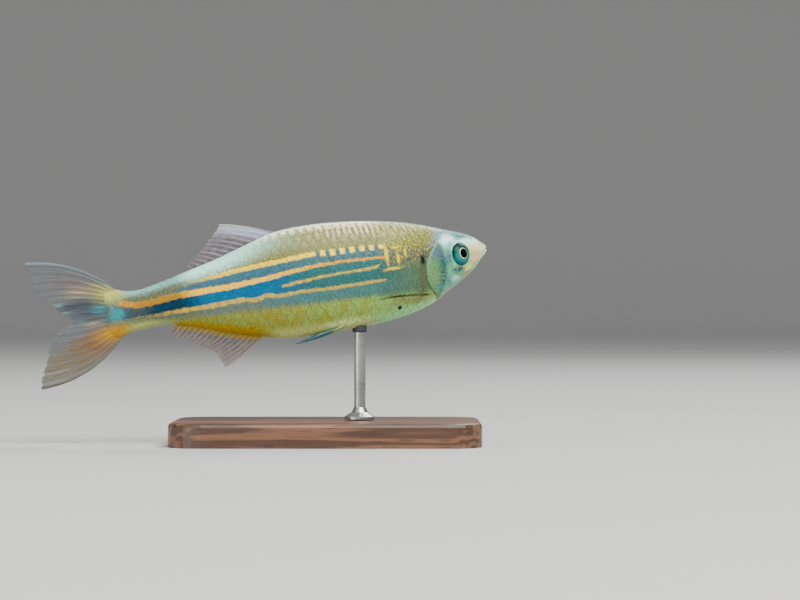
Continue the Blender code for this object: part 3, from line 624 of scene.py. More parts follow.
    # Blue field between the upper line and the belly
    top_height = drawn(group, place, BLUE_TOP)
    field = product(
        group,
        ramp(group, maths(group, "SUBTRACT", wavy, top_height), 0.5, -0.3),
        ramp(group, maths(group, "SUBTRACT", wavy, belly_height), -0.8, 0.9),
    )
    blue = blend(group, ramp(group, place, 13.0, 20.0), colours.blue_tail, colours.blue)
    blue = blend(group, ramp(group, place, 30.0, 42.0), blue, colours.blue_front)
    blue = blend(group, ramp(group, place, 9.0, 4.0, 0.0, 0.25), blue, colours.teal_rear)
    main_height = drawn(group, place, [(point[0], point[1]) for point in MAIN_LINE])
    over_main = ramp(group, maths(group, "SUBTRACT", height, main_height), -0.1, 0.5)
    blue = blend(group, maths(group, "MULTIPLY", over_main, 0.75), blue, colours.blue_grey)
    lower_height = drawn(group, place, [(point[0], point[1]) for point in LOWER_LINE])
    under_lower = ramp(group, maths(group, "SUBTRACT", height, lower_height), 0.1, -0.4)
    teal = blend(group, ramp(group, place, 26.0, 36.0), colours.teal_rear, colours.teal)
    blue = blend(group, maths(group, "MULTIPLY", under_lower, 0.85), blue, teal)
    patches = product(group, ramp(group, patchy, 0.48, 0.72), ramp(group, place, 8.0, 24.0, 0.2, 0.5))
    blue = blend(group, patches, blue, colours.blue_light)
    fades = ramp(group, place, 61.0, 53.0, 0.35, 1.0)
    ground = blend(group, maths(group, "MULTIPLY", field, fades), ground, blue)

    # Shoulder: gold bars and specks over slate, and the green lower flank behind the gill cover
    shoulder = product(group, ramp(group, place, 53.0, 57.0), ramp(group, height, -1.4, 0.6))
    ground = blend(group, product(group, shoulder, ramp(group, height, 3.4, 1.2), 0.8), ground, colours.slate)
    upright = noise(group, scaled(group, flat, 1.0, 0.6, 1.0), 2.3, 4.0, 0.7)
    ground = blend(group, product(group, shoulder, ramp(group, height, 1.6, 3.4), 0.6), ground, colours.shoulder_gold)
    bars = product(group, shoulder, ramp(group, upright, 0.47, 0.66), ramp(group, height, 8.4, 6.4, 0.6, 1.0))
    ground = blend(group, maths(group, "MULTIPLY", bars, 0.75), ground, colours.shoulder_light)
    gaps = product(group, shoulder, ramp(group, upright, 0.49, 0.32), ramp(group, height, 8.4, 6.4, 0.3, 1.0))
    ground = blend(group, maths(group, "MULTIPLY", gaps, 0.55), ground, colours.slate)
    pearly = product(group, shoulder, ramp(group, speck, 0.55, 0.68), ramp(group, height, 2.5, 6.0), 0.5)
    ground = blend(group, pearly, ground, colours.back)
    lower = product(group, ramp(group, place, 50.0, 58.0), ramp(group, height, 0.2, -2.2), ramp(group, height, -8.5, -5.5))
    ground = blend(group, maths(group, "MULTIPLY", lower, 0.6), ground, colours.green)
    behind_nape = maths(group, "MULTIPLY_ADD", height, -0.7, place)
    behind_nape = maths(group, "MULTIPLY_ADD", maths(group, "SUBTRACT", upright, 0.5), 7.0, behind_nape)
    nape = product(group, ramp(group, behind_nape, 61.6, 65.4), ramp(group, height, 1.4, 3.2))
    pale_nape = blend(group, ramp(group, speck, 0.42, 0.6), colours.slate, colours.nape)
    ground = blend(group, nape, ground, pale_nape)
    midline = product(group, ramp(group, share, 0.975, 0.995), 0.9)
    ground = blend(group, midline, ground, colours.olive_back)

    # The lines of colour
    stepped = maths(group, "MULTIPLY_ADD", maths(group, "SUBTRACT", noise(group, flat, 0.8, 1.0), 0.5), 0.5, height)
    stepped = maths(group, "MULTIPLY_ADD", maths(group, "SUBTRACT", noise(group, flat, 1.5, 2.0), 0.5), 0.45, stepped)
    main = colour_line(group, place, stepped, MAIN_LINE)
    main_colour = blend(group, ramp(group, place, 30.0, 48.0, 0.0, 0.85), colours.main_rear, colours.main_front)
    main_colour = blend(group, ramp(group, place, 18.0, 12.0), main_colour, colours.main_tail)
    main_colour = blend(group, product(group, ramp(group, place, 4.5, 2.5), 0.3), main_colour, colours.main_front)
    uneven = ramp(group, noise(group, flat, 1.9, 3.0, 0.6), 0.3, 0.6, 0.65, 1.0)
    main = product(group, main, maths(group, "MAXIMUM", uneven, ramp(group, place, 40.0, 20.0, 0.0, 0.9)))
    ground = blend(group, main, ground, main_colour)
    beads = ramp(group, maths(group, "SINE", maths(group, "MULTIPLY_ADD", place, 2 * math.pi / 1.95, 1.75)), -0.6, 0.5)
    joined = ramp(group, place, 41.8, 40.8)
    upper = product(group, colour_line(group, place, stepped, UPPER_LINE), maths(group, "MAXIMUM", beads, joined))
    ground = blend(group, product(group, upper, uneven, ramp(group, place, 14.0, 26.0, 0.3, 1.0)), ground, colours.gold)
    knots = maths(group, "SINE", maths(group, "MULTIPLY_ADD", place, 2 * math.pi / 1.95, 0.4))
    knotted = product(group, uneven, ramp(group, knots, -1.0, 0.2, 0.7, 1.0))
    for line in (MIDDLE_LINE, LOWER_LINE):
        pale = product(group, colour_line(group, place, stepped, line), knotted, ramp(group, place, 5.0, 15.0, 0.35, 1.0))
        ground = blend(group, pale, ground, colours.pale_line)
    broken = ramp(group, upright, 0.34, 0.5, 0.25, 1.0)
    for centre, reach in (
        ((55.3, 2.0), (0.34, 1.9)), ((57.6, 0.9), (0.34, 1.0)), ((56.2, -1.05), (1.6, 0.26)),
        ((57.7, 3.3), (0.8, 0.26)), ((59.2, 1.8), (0.25, 0.8)),
    ):
        mark = product(group, spot(group, place, stepped, centre, reach, 0.8), broken, 0.85)
        ground = blend(group, mark, ground, colours.gold)

    # Marks at the tail, the shoulder and the belly, with painted shade behind the gill cover, a painted shadow of the
    # pectoral fin and a painted reflection under it
    ground = blend(group, ramp(group, place, 1.2, -1.0), ground, colours.tail_root)
    for centre, reach, colour in (
        ((-1.2, 3.1), (2.8, 1.5), colours.cream_tail),
        ((-0.3, -1.2), (1.5, 1.2), colours.turquoise),
        ((-1.3, -4.7), (3.2, 1.5), colours.orange),
    ):
        ground = blend(group, spot(group, place, height, centre, reach, 0.8), ground, colour)
    # Painted reflection: a tan band on the flank under the pectoral fin
    tan = spot(group, place, height, (61.4, -8.1), (3.4, 0.8), 0.6)
    ground = blend(group, maths(group, "MULTIPLY", tan, 0.5), ground, colours.tan)
    # Painted shade in the gill opening behind the gill cover
    groove = product(
        group, spot(group, place, height, (62.4, -3.6), (0.9, 3.6), 0.7), ramp(group, height, 0.6, -0.6),
    )
    ground = blend(group, maths(group, "MULTIPLY", groove, 0.75), ground, colours.groove)
    ragged = maths(group, "MULTIPLY_ADD", maths(group, "SUBTRACT", fine, 0.5), 1.4, place)
    ground = blend(group, spot(group, ragged, height, (62.8, -0.2), (0.52, 1.05), 0.6), ground, colours.black)
    # Painted shadow of the pectoral fin's upper edge, as a dark line along the flank
    axil = drawn(group, place, ((50.5, -7.0), (55.0, -6.85), (60.6, -7.2), (63.4, -7.5)))
    crease = product(
        group, ramp(group, maths(group, "ABSOLUTE", maths(group, "SUBTRACT", height, axil)), 0.34, 0.1),
        ramp(group, place, 50.0, 57.0), ramp(group, place, 64.2, 63.2),
    )
    ground = blend(group, maths(group, "MULTIPLY", crease, 0.9), ground, colours.crease)
    ground = blend(group, spot(group, place, height, (57.1, -9.24), (0.44, 0.44), 0.15), ground, colours.black)

    bright = maths(group, "MAXIMUM", maths(group, "MULTIPLY", field, fades), main)
    bright = maths(group, "MAXIMUM", bright, maths(group, "MAXIMUM", ochre, ramp(group, place, 3.0, 1.0)))
    shine = maths(group, "MAXIMUM", maths(group, "MULTIPLY", bright, 0.3), maths(group, "MULTIPLY", back, 0.2))
    shine = maths(group, "ADD", shine, 0.1)
    feed(group, result.inputs["Colour"], ground)
    feed(group, result.inputs["Shine"], shine)


def skin_material(colours):
    """Paint the skin: the flank's markings, the head's own colours and painted shade in the head's grooves, mouth,
    nostrils and eye sockets.
    """
    material, tree, shader = new_material("danio_skin")
    lie = kept(tree, "lie")
    place, height, share = split(tree, lie)
    cover, painted_shade_and_pale_edge, scaleless = split(tree, kept(tree, "head"))
    flat = join(tree, place, height, 0.0)
    marks = use_group(tree, "danio markings", Lie=lie)
    fine = noise(tree, flat, 3.2, 3.0, 0.6)
    broad = noise(tree, flat, 0.7, 2.0)

    head = blend(tree, ramp(tree, share, 0.5, 0.8), colours.cheek, colours.crown)
    mottled = noise(tree, flat, 1.7, 3.0, 0.6)
    uneven = maths(tree, "MULTIPLY_ADD", mottled, 2.2, maths(tree, "MULTIPLY_ADD", fine, 1.2, -0.8))
    for centre, reach, strength, colour in (
        ((69.4, 3.1), (1.9, 1.2), 1.0, colours.silver),
        ((75.2, 1.9), (3.2, 0.9), 1.2, colours.silver),
        ((77.0, 0.8), (2.0, 0.9), 1.4, colours.snout_white),
        ((70.0, 2.0), (0.7, 0.6), 1.5, colours.turquoise_pale),
        ((76.2, -1.1), (1.5, 1.8), 1.1, colours.snout),
        ((73.4, -3.2), (2.2, 0.7), 0.8, colours.cheek_gold),
        ((69.1, -0.7), (0.8, 1.5), 0.9, colours.cover_top),
        ((69.2, -2.8), (0.5, 1.0), 0.7, colours.cover_gold),
        ((71.4, -3.4), (1.7, 0.7), 1.1, colours.cover_teal),
        ((68.9, -5.3), (0.8, 1.2), 0.8, colours.cover_blue),
        ((70.6, -5.1), (1.2, 0.5), 0.45, colours.silver),
        ((74.6, -4.5), (2.6, 0.6), 0.9, colours.throat),
    ):
        inside = product(tree, spot(tree, place, height, centre, reach, 0.7), strength, uneven)
        head = blend(tree, maths(tree, "MINIMUM", inside, 1.0), head, colour)
    head = blend(tree, product(tree, ramp(tree, share, -0.75, -0.97), 0.7), head, colours.throat)
    lips = product(tree, spot(tree, place, height, (79.6, -0.2), (1.6, 1.3), 0.6), 0.45)
    head = blend(tree, lips, head, colours.snout_white)
    over = product(tree, ramp(tree, share, 0.93, 1.0), ramp(tree, place, 79.0, 75.0), 0.75)
    head = blend(tree, over, head, colours.olive_back)

    plate = blend(tree, ramp(tree, place, 65.2, 67.6), colours.cover_green, colours.cover_teal)
    slanting = maths(tree, "MULTIPLY_ADD", height, 1.1, maths(tree, "MULTIPLY", place, 0.38))
    warped = maths(tree, "MULTIPLY_ADD", noise(tree, scaled(tree, flat, 0.5, 1.0, 1.0), 0.9, 2.0), 2.0, slanting)
    stripes = maths(tree, "MULTIPLY_ADD", maths(tree, "SINE", maths(tree, "MULTIPLY", warped, 2 * math.pi)), 0.14, 0.5)
    stripes = maths(tree, "MULTIPLY_ADD", maths(tree, "SUBTRACT", fine, 0.5), 0.5, stripes)
    low = ramp(tree, height, -1.6, -3.0)
    plate = blend(tree, product(tree, ramp(tree, stripes, 0.46, 0.64), low, 0.42), plate, colours.cover_gold)
    plate = blend(tree, product(tree, ramp(tree, stripes, 0.47, 0.34), 0.16), plate, colours.cover_dark)
    plate = blend(tree, product(tree, spot(tree, place, height, (66.0, -6.3), (0.9, 0.5), 0.7), 0.7), plate, colours.turquoise)
    plate = blend(tree, product(tree, ramp(tree, height, -1.2, 0.4), uneven, 0.9), plate, colours.cover_top)
    head = blend(tree, cover, head, plate)
    head = blend(tree, maths(tree, "MULTIPLY", ramp(tree, fine, 0.52, 0.7), 0.25), head, colours.silver)
    head = blend(tree, maths(tree, "MULTIPLY", ramp(tree, fine, 0.46, 0.32), 0.25), head, colours.cover_dark)

    bare = maths(tree, "MULTIPLY_ADD", maths(tree, "SUBTRACT", mottled, 0.5), ramp(tree, height, 1.0, 3.2, 0.0, 1.6), scaleless)
    colour = blend(tree, ramp(tree, bare, 0.3, 0.7), marks.outputs["Colour"], head)
    # Painted shade in the grooves, the mouth, the nostrils and round the eyes; negative values give the pale edge of
    # the gill cover
    colour = blend(tree, maths(tree, "MAXIMUM", painted_shade_and_pale_edge, 0.0), colour, colours.crease)
    colour = blend(tree, maths(tree, "MAXIMUM", maths(tree, "MULTIPLY", painted_shade_and_pale_edge, -0.6), 0.0), colour, colours.cover_rim)
    feed(tree, shader.inputs["Base Color"], colour)
    feed(tree, shader.inputs["Metallic"], marks.outputs["Shine"])
    feed(tree, shader.inputs["Roughness"], ramp(tree, fine, 0.3, 0.7, 0.3, 0.45))
    shader.inputs["Specular IOR Level"].default_value = 0.15
    shader.inputs["Coat Weight"].default_value = 0.11
    shader.inputs["Coat Roughness"].default_value = 0.1
    pores = noise(tree, flat, 7.0, 3.0, 0.6)
    relief = maths(tree, "ADD", pores, product(tree, stripes, cover, 1.5))
    feed(tree, shader.inputs["Normal"], bumped(tree, relief, 0.3, 0.0002))
    return material


def scale_material(colours):
    """Paint the scales: the flank's markings, a darker rim to each, painted glints and fine lines across it."""
    material, tree, shader = new_material("danio_scales")
    lie = kept(tree, "lie")
    back_to, across, seed = split(tree, kept(tree, "scale"))
    marks = use_group(tree, "danio markings", Lie=lie)
    place, height, share = split(tree, lie)
    squares = maths(tree, "ADD", maths(tree, "POWER", back_to, 2.0), maths(tree, "POWER", across, 2.0))
    rim = product(tree, ramp(tree, squares, 0.7, 0.97), ramp(tree, back_to, -0.1, 0.4))
    glints = noise(tree, join(tree, maths(tree, "MULTIPLY", place, 3.0), maths(tree, "MULTIPLY", height, 3.6), seed), 1.0, 3.0, 0.7)
    rim_share = ramp(tree, share, -0.2, -0.5, 0.32, 0.42)
    colour = blend(tree, product(tree, rim, rim_share), marks.outputs["Colour"], colours.rim, "MULTIPLY")
    upper = product(
        tree, ramp(tree, share, 0.5, 0.72), ramp(tree, place, 28.0, 46.0), ramp(tree, place, 66.0, 58.0, 0.5, 1.0),
    )
    dash = product(
        tree, spot(tree, back_to, across, (0.36, 0.0), (0.15, 0.42), 0.8), upper, ramp(tree, share, 0.985, 0.94),
        ramp(tree, maths(tree, "MULTIPLY_ADD", seed, 0.5, glints), 0.4, 0.9, 0.3, 1.0),
    )
    colour = blend(tree, maths(tree, "MULTIPLY", dash, 0.2), colour, colours.cream)
    # Painted glints: random silver specks stand in for the sparkle of the scales, with random darker specks beside them
    colour = blend(tree, maths(tree, "MULTIPLY", ramp(tree, glints, 0.5, 0.72), 0.5), colour, colours.silver, "SOFT_LIGHT")
    colour = blend(tree, maths(tree, "MULTIPLY", ramp(tree, glints, 0.5, 0.3), 0.5), colour, colours.olive_dark, "SOFT_LIGHT")
    feed(tree, shader.inputs["Base Color"], colour)
    feed(tree, shader.inputs["Metallic"], product(tree, marks.outputs["Shine"], ramp(tree, squares, 0.75, 0.45)))
    feed(tree, shader.inputs["Roughness"], maths(tree, "MULTIPLY_ADD", seed, 0.14, 0.3))
    shader.inputs["Specular IOR Level"].default_value = 0.12
    shader.inputs["Coat Weight"].default_value = 0.09
    shader.inputs["Coat Roughness"].default_value = 0.15
    grain = noise(tree, join(tree, maths(tree, "MULTIPLY", place, 1.6), maths(tree, "MULTIPLY", height, 5.0), seed), 1.0, 2.0)
    feed(tree, shader.inputs["Normal"], bumped(tree, grain, 0.5, 0.0002))
    return material


def fin_material(
    name, ray, membrane, ray_alpha, membrane_alpha, zones=(), root=None, root_reach=1.6, leading=None,
    leading_rays=0.5, under=None,
):
    """Paint a fin: firm rays with fine joints, and a clear membrane between them."""
    material, tree, shader = new_material(name)
    position, reach, ridge = split(tree, kept(tree, "fin"))
    place, height, along = split(tree, kept(tree, "lie"))
    flat = join(tree, place, height, 0.0)
    cloudy = noise(tree, flat, 0.9, 3.0)
    streaks = noise(tree, join(tree, maths(tree, "MULTIPLY", position, 2.6), maths(tree, "MULTIPLY", reach, 0.16), 0.0), 1.0, 3.0, 0.6)
    streaky = ramp(tree, streaks, 0.3, 0.7)
    membrane_colour = blend(tree, maths(tree, "MULTIPLY", ramp(tree, cloudy, 0.4, 0.65), 0.4), membrane, ray)
    colour = blend(tree, product(tree, ridge, ramp(tree, streaks, 0.35, 0.62, 0.25, 1.0)), membrane_colour, ray)
    clear = maths(tree, "MULTIPLY", ramp(tree, along, 0.45, 1.0, 1.0, 0.75), membrane_alpha)
    solid = maths(tree, "ADD", clear, product(tree, ridge, maths(tree, "SUBTRACT", ray_alpha, clear)))
    solid = maths(tree, "ADD", solid, maths(tree, "MULTIPLY", maths(tree, "SUBTRACT", streaks, 0.5), 0.4), clamp=True)
    if root:
        near = ramp(tree, reach, root_reach, 0.3 * root_reach)
        colour = blend(tree, maths(tree, "MULTIPLY", near, 0.8), colour, root)
        solid = maths(tree, "MAXIMUM", solid, maths(tree, "MULTIPLY", near, ray_alpha))
    for centre, size, zone, alpha, firm in zones:
        inside = product(tree, spot(tree, place, height, centre, size, 0.85), ramp(tree, streaky, 0.0, 1.0, firm, 1.0))
        inside = product(tree, inside, ramp(tree, ridge, 0.0, 1.0, firm, 1.0))
        colour = blend(tree, inside, colour, zone)
        solid = maths(tree, "MAXIMUM", solid, maths(tree, "MULTIPLY", inside, alpha))
    shaded = maths(tree, "MULTIPLY", ramp(tree, ridge, 0.6, 0.0), 0.2)
    colour = blend(tree, shaded, colour, membrane, "MULTIPLY")
    if leading:
        front = product(tree, ramp(tree, position, leading_rays, 0.3 * leading_rays), ramp(tree, streaks, 0.3, 0.5, 0.5, 1.0))
        edge = blend(tree, ramp(tree, height, 1.0, -1.0), leading, under) if under else leading
        colour = blend(tree, front, colour, edge)
        solid = maths(tree, "MAXIMUM", solid, maths(tree, "MULTIPLY", front, 0.9 * ray_alpha))
    joints = ramp(tree, maths(tree, "SINE", maths(tree, "MULTIPLY", reach, 2 * math.pi / 0.42)), 0.2, 0.95)
    colour = blend(tree, product(tree, joints, ridge, 0.25), colour, membrane, "MULTIPLY")
    feed(tree, shader.inputs["Base Color"], colour)
    feed(tree, shader.inputs["Alpha"], solid)
    feed(tree, shader.inputs["Roughness"], ramp(tree, cloudy, 0.3, 0.7, 0.25, 0.45))
    shader.inputs["Specular IOR Level"].default_value = 0.2
    shader.inputs["Coat Weight"].default_value = 0.1
    shader.inputs["Coat Roughness"].default_value = 0.15
    feed(tree, shader.inputs["Normal"], bumped(tree, maths(tree, "MULTIPLY", joints, ridge), 0.3, 0.0001))
    return material


def eye_material(colours):
    """Paint the eye: pupil, pale ring, bright iris and dark rim under a clear, wet surface."""
    material, tree, shader = new_material("danio_eye")
    forward, up, _ = split(tree, kept(tree, "eye"))
    reach = maths(tree, "SQRT", maths(tree, "ADD", maths(tree, "POWER", forward, 2.0), maths(tree, "POWER", up, 2.0)))
    ahead = maths(tree, "DIVIDE", maths(tree, "SUBTRACT", forward, 0.12), 0.88)
    inner = maths(tree, "SQRT", maths(tree, "ADD", maths(tree, "POWER", ahead, 2.0), maths(tree, "POWER", up, 2.0)))
    turn = maths(tree, "ARCTAN2", up, forward)
    rays = noise(tree, join(tree, maths(tree, "MULTIPLY", turn, 2.2), maths(tree, "MULTIPLY", reach, 0.7), 0.0), 2.4, 3.0)
    iris = blend(tree, ramp(tree, rays, 0.35, 0.65), colours.iris, colours.iris_light)
    iris = blend(tree, ramp(tree, maths(tree, "ADD", forward, up), 0.2, -1.6), iris, colours.iris_rear)
    crescent = product(tree, ramp(tree, reach, 1.15, 1.4), ramp(tree, up, -0.1, 0.7))
    iris = blend(tree, maths(tree, "MULTIPLY", crescent, 0.9), iris, colours.iris_dark)
    rim = product(tree, ramp(tree, reach, 1.6, 2.1), ramp(tree, up, -1.4, 0.2, 0.4, 1.0))
    iris = blend(tree, rim, iris, colours.iris_dark)
    iris = blend(tree, product(tree, ramp(tree, inner, 1.24, 1.14), ramp(tree, forward, 0.9, -0.2, 0.4, 1.0)), iris, colours.iris_ring)
    pupil = ramp(tree, inner, 1.06, 0.98)
    colour = blend(tree, pupil, iris, colours.pupil)
    feed(tree, shader.inputs["Base Color"], colour)
    shiny = maths(tree, "MULTIPLY", maths(tree, "SUBTRACT", 1.0, pupil), 0.08)
    feed(tree, shader.inputs["Metallic"], shiny)
    feed(tree, shader.inputs["Roughness"], ramp(tree, rays, 0.3, 0.7, 0.2, 0.35))
    shader.inputs["Specular IOR Level"].default_value = 0.08
    shader.inputs["Coat Weight"].default_value = 0.05
    shader.inputs["Coat Roughness"].default_value = 0.05
    return material


def wood_material(colours):
    """Paint oiled walnut for the base."""
    material, tree, shader = new_material("walnut")
    coordinates = tree.nodes.new("ShaderNodeTexCoord").outputs["Object"]
    grain = scaled(tree, coordinates, 24.0, 800.0, 800.0)
    slow = noise(tree, scaled(tree, coordinates, 9.0, 160.0, 160.0), 1.0, 3.0)
    streaks = noise(tree, grain, 1.0, 5.0, 0.65)
    rings = maths(tree, "SINE", maths(tree, "MULTIPLY_ADD", slow, 42.0, maths(tree, "MULTIPLY", streaks, 3.0)))
    colour = blend(tree, ramp(tree, rings, -0.8, 0.9), colours.wood_dark, colours.wood)
    pores = noise(tree, scaled(tree, coordinates, 160.0, 2600.0, 2600.0), 1.0, 2.0)
    colour = blend(tree, maths(tree, "MULTIPLY", ramp(tree, pores, 0.56, 0.68), 0.6), colour, colours.wood_pore)
    feed(tree, shader.inputs["Base Color"], colour)
    feed(tree, shader.inputs["Roughness"], ramp(tree, streaks, 0.3, 0.7, 0.38, 0.52))
    shader.inputs["Coat Weight"].default_value = 0.08
    shader.inputs["Coat Roughness"].default_value = 0.35
    feed(tree, shader.inputs["Normal"], bumped(tree, maths(tree, "ADD", streaks, pores), 0.2, 0.0002))
    return material


def steel_material(colours):
    """Paint brushed steel for the rod, with fine rings from turning."""
    material, tree, shader = new_material("brushed_steel")
    coordinates = tree.nodes.new("ShaderNodeTexCoord").outputs["Object"]
    rings = noise(tree, scaled(tree, coordinates, 300.0, 300.0, 9000.0), 1.0, 2.0)
    cloud = noise(tree, coordinates, 140.0, 2.0)
    feed(tree, shader.inputs["Base Color"], blend(tree, ramp(tree, cloud, 0.3, 0.7), colours.steel, colours.steel_light))
    shader.inputs["Metallic"].default_value = 1.0
    feed(tree, shader.inputs["Roughness"], ramp(tree, rings, 0.3, 0.7, 0.22, 0.4))
    feed(tree, shader.inputs["Normal"], bumped(tree, rings, 0.15, 0.0001))
    return material


def pad_material(colours):
    """Paint the dark felt pad on top of the rod."""
    material, tree, shader = new_material("felt_pad")
    coordinates = tree.nodes.new("ShaderNodeTexCoord").outputs["Object"]
    fuzz = noise(tree, coordinates, 4000.0, 3.0)
    feed(tree, shader.inputs["Base Color"], blend(tree, fuzz, colours.pad, colours.pad_light))
    feed(tree, shader.inputs["Roughness"], ramp(tree, fuzz, 0.3, 0.7, 0.8, 0.95))
    feed(tree, shader.inputs["Normal"], bumped(tree, fuzz, 0.5, 0.0002))
    return material


def stage_material(sizes):
    """Paint the plain pale floor."""
    material, tree, shader = new_material("studio_floor")
    coordinates = tree.nodes.new("ShaderNodeTexCoord").outputs["Object"]
    cloud = noise(tree, coordinates, 3.0, 2.0)
    pale = tuple(sizes.floor_colour)
    feed(tree, shader.inputs["Base Color"], blend(tree, cloud, pale, tuple(0.97 * value for value in pale)))
    shader.inputs["Roughness"].default_value = 0.85
    shader.inputs["Specular IOR Level"].default_value = 0.2
    return material


# Shapes


def grid_mesh(columns, rows, name):
    """Make a flat sheet one unit wide, and give its points' shares across and up."""
    shape = bmesh.new()
    bmesh.ops.create_grid(shape, x_segments=columns, y_segments=rows, size=0.5)
    mesh = mesh_from(shape, name)
    shares = mesh_points(mesh)[:, :2] + 0.5
    return mesh, np.round(shares * (columns, rows)).astype(int)


def closed_loft(places, sides, name):
    """Loft the straight body through rings at these places, closed at the tail base and the snout."""
    columns = len(places) + 1
    mesh, steps = grid_mesh(columns, sides, name)
    angle = -90.0 + 360.0 * steps[:, 1] / sides
    inner = np.clip(steps[:, 0] - 1, 0, len(places) - 1)
    points = skin_points(np.asarray(places)[inner], angle)
    points[steps[:, 0] == 0] = (places[0], 0.0, section(np.array(0.0))[3])
    points[steps[:, 0] == columns] = (NOSE_TIP, 0.0, NOSE_LEVEL)
    move_points(mesh, points)
    shape = bmesh.new()
    shape.from_mesh(mesh)
    bmesh.ops.remove_doubles(shape, verts=shape.verts, dist=0.0005)
    bmesh.ops.recalc_face_normals(shape, faces=shape.faces)
    bpy.data.meshes.remove(mesh)
    return mesh_from(shape, name)


def eye_frame(side):
    """Give the centre of an eye and its forward, upward and outward directions."""
    forward, up = math.radians(EYE_FACES_FORWARD), math.radians(EYE_FACES_UP)
    outward = np.array((math.sin(forward), side * math.cos(forward) * math.cos(up), math.sin(up)))
    outward /= np.linalg.norm(outward)
    place = np.array(EYE_PLACE)
    surface = skin_points(place, skin_angle(place, EYE_HEIGHT))
    surface[1] *= side
    ahead = np.array((1.0, 0.0, 0.0)) - outward * outward[0]
    ahead /= np.linalg.norm(ahead)
    upward = np.cross(outward, ahead)
    upward *= math.copysign(1.0, upward[2])
    return surface + outward * (EYE_STANDS_OUT - EYE_HALF_DEPTH), ahead, upward, outward


def head_relief(points, sizes):
    """Give how far the head's surface rises or sinks at each point, and its colour masks, with the painted shade of its
    grooves.
    """
    side_view = points[:, (0, 2)]
    across = np.abs(points[:, 1])
    rise = np.zeros(len(points))
    gill = line_distance(side_view, smooth_line(GILL_LINE, 3))
    opens = smooth_step(GILL_OPENS_BELOW + 0.7, GILL_OPENS_BELOW - 0.5, points[:, 2]) * smooth_step(0.2, 1.2, across)
    front = line_distance(side_view, smooth_line(COVER_FRONT, 3))
    in_cover = smooth_step(-0.06, 0.06, gill) * smooth_step(-1.0, 0.7, front) * opens
    lift = COVER_LIFT * smooth_step(COVER_LIFT_FROM, COVER_LIFT_TO, points[:, 0])
    rise += lift * smooth_step(-0.1, 0.16, gill) * (0.7 + 0.3 * smooth_step(0.3, 0.8, gill)) * opens
    behind = np.where(gill < 0, 1.0, 0.0)
    rise -= sizes.gill_groove * bump_at(gill, -0.2, 0.4) * opens * behind
    rise -= 0.09 * bump_at(front, 0.0, 0.13) * opens
    pale_edge = bump_at(gill, 0.16, 0.12) * opens
    suture = line_distance(side_view, smooth_line(COVER_SUTURE, 3))
    rise -= 0.05 * bump_at(suture, 0.0, 0.12) * in_cover
    cheek = line_distance(side_view, smooth_line(CHEEK_LINE, 3))
    rise -= 0.06 * bump_at(cheek, 0.0, 0.16)
    crease = line_distance(side_view, smooth_line(LIP_CREASE, 3))
    rise -= 0.06 * bump_at(crease, 0.0, 0.14)
    jaw = line_distance(side_view, smooth_line(JAW_JOINT_LINE, 3))
    rise -= 0.07 * bump_at(jaw, 0.0, 0.16)
    # Painted shade in the groove behind the gill cover and along the lines of the cover, cheek, jaw and lips
    painted_shade_and_pale_edge = 0.6 * bump_at(gill, -0.12, 0.2) * opens * behind + 0.12 * bump_at(front, 0.0, 0.3) * opens
    painted_shade_and_pale_edge += 0.25 * bump_at(cheek, 0.0, 0.14) + 0.3 * bump_at(jaw, 0.0, 0.12) + 0.2 * bump_at(crease, 0.0, 0.1)
    painted_shade_and_pale_edge += 0.2 * bump_at(suture, 0.0, 0.12) * in_cover

    cleft = curve_through(MOUTH_LINE)(np.linspace(0.0, 0.985, 40))
    sideways = skin_points(cleft[:, 0], skin_angle(cleft[:, 0], cleft[:, 1]))
    mouth = np.full(len(points), 1e9)
    near = points[:, 0] > MOUTH_LINE[0][0] - 1.5
    for side in (1.0, -1.0):
        for spot_at in sideways * (1.0, side, 1.0):
            mouth[near] = np.minimum(mouth[near], np.linalg.norm(points[near] - spot_at, axis=1))
    rise += sizes.lip_rise * bump_at(mouth, 0.4, 0.2) - sizes.mouth_depth * bump_at(mouth, 0.0, 0.12)
    # Painted shade in the mouth
    painted_shade_and_pale_edge += 0.95 * bump_at(mouth, 0.0, 0.12)

    for side in (1.0, -1.0):
        centre, _, _, outward = eye_frame(side)
        offset = points - centre
        height = offset @ outward
        away = np.linalg.norm(offset - height[:, None] * outward, axis=1)
        ours = points[:, 1] * side > 0
        rim = EYE_RADIUS - 0.08
        rise -= np.where(ours, sizes.socket_depth * smooth_step(rim + 0.2, rim - 0.35, away), 0.0)
        rise += np.where(ours, 0.1 * bump_at(away, rim + 0.35, 0.18), 0.0)
        orbit = bump_at(away, 3.35, 0.16) * smooth_step(1.4, 0.2, points[:, 2]) * smooth_step(76.4, 75.0, points[:, 0])
        rise -= np.where(ours, 0.04 * orbit, 0.0)
        # Painted shade round the eye in its socket
        painted_shade_and_pale_edge += np.where(ours, 0.55 * smooth_step(rim + 0.12, rim - 0.1, away) + 0.15 * orbit, 0.0)
        for place, angle, radius in NOSTRILS:
            hole = skin_points(place, angle) * (1.0, side, 1.0)
            from_hole = np.linalg.norm(points - hole, axis=1)
            rise += 0.07 * bump_at(from_hole, radius + 0.12, 0.1) - radius * smooth_step(radius, 0.3 * radius, from_hole)
            # Painted shade in the nostrils
            painted_shade_and_pale_edge += 0.95 * smooth_step(radius, 0.5 * radius, from_hole)
    nape = smooth_step(1.8, 3.4, points[:, 2])
    scaleless = smooth_step(-0.15 - 0.8 * nape, 0.25 + 1.6 * nape, gill)
    # Negative values mark the pale edge of the gill cover, beside the painted shade
    painted_shade_and_pale_edge = np.clip(painted_shade_and_pale_edge, 0.0, 1.0) - 0.45 * pale_edge * (painted_shade_and_pale_edge < 0.3)
    return rise, np.stack((in_cover, painted_shade_and_pale_edge, scaleless), -1)


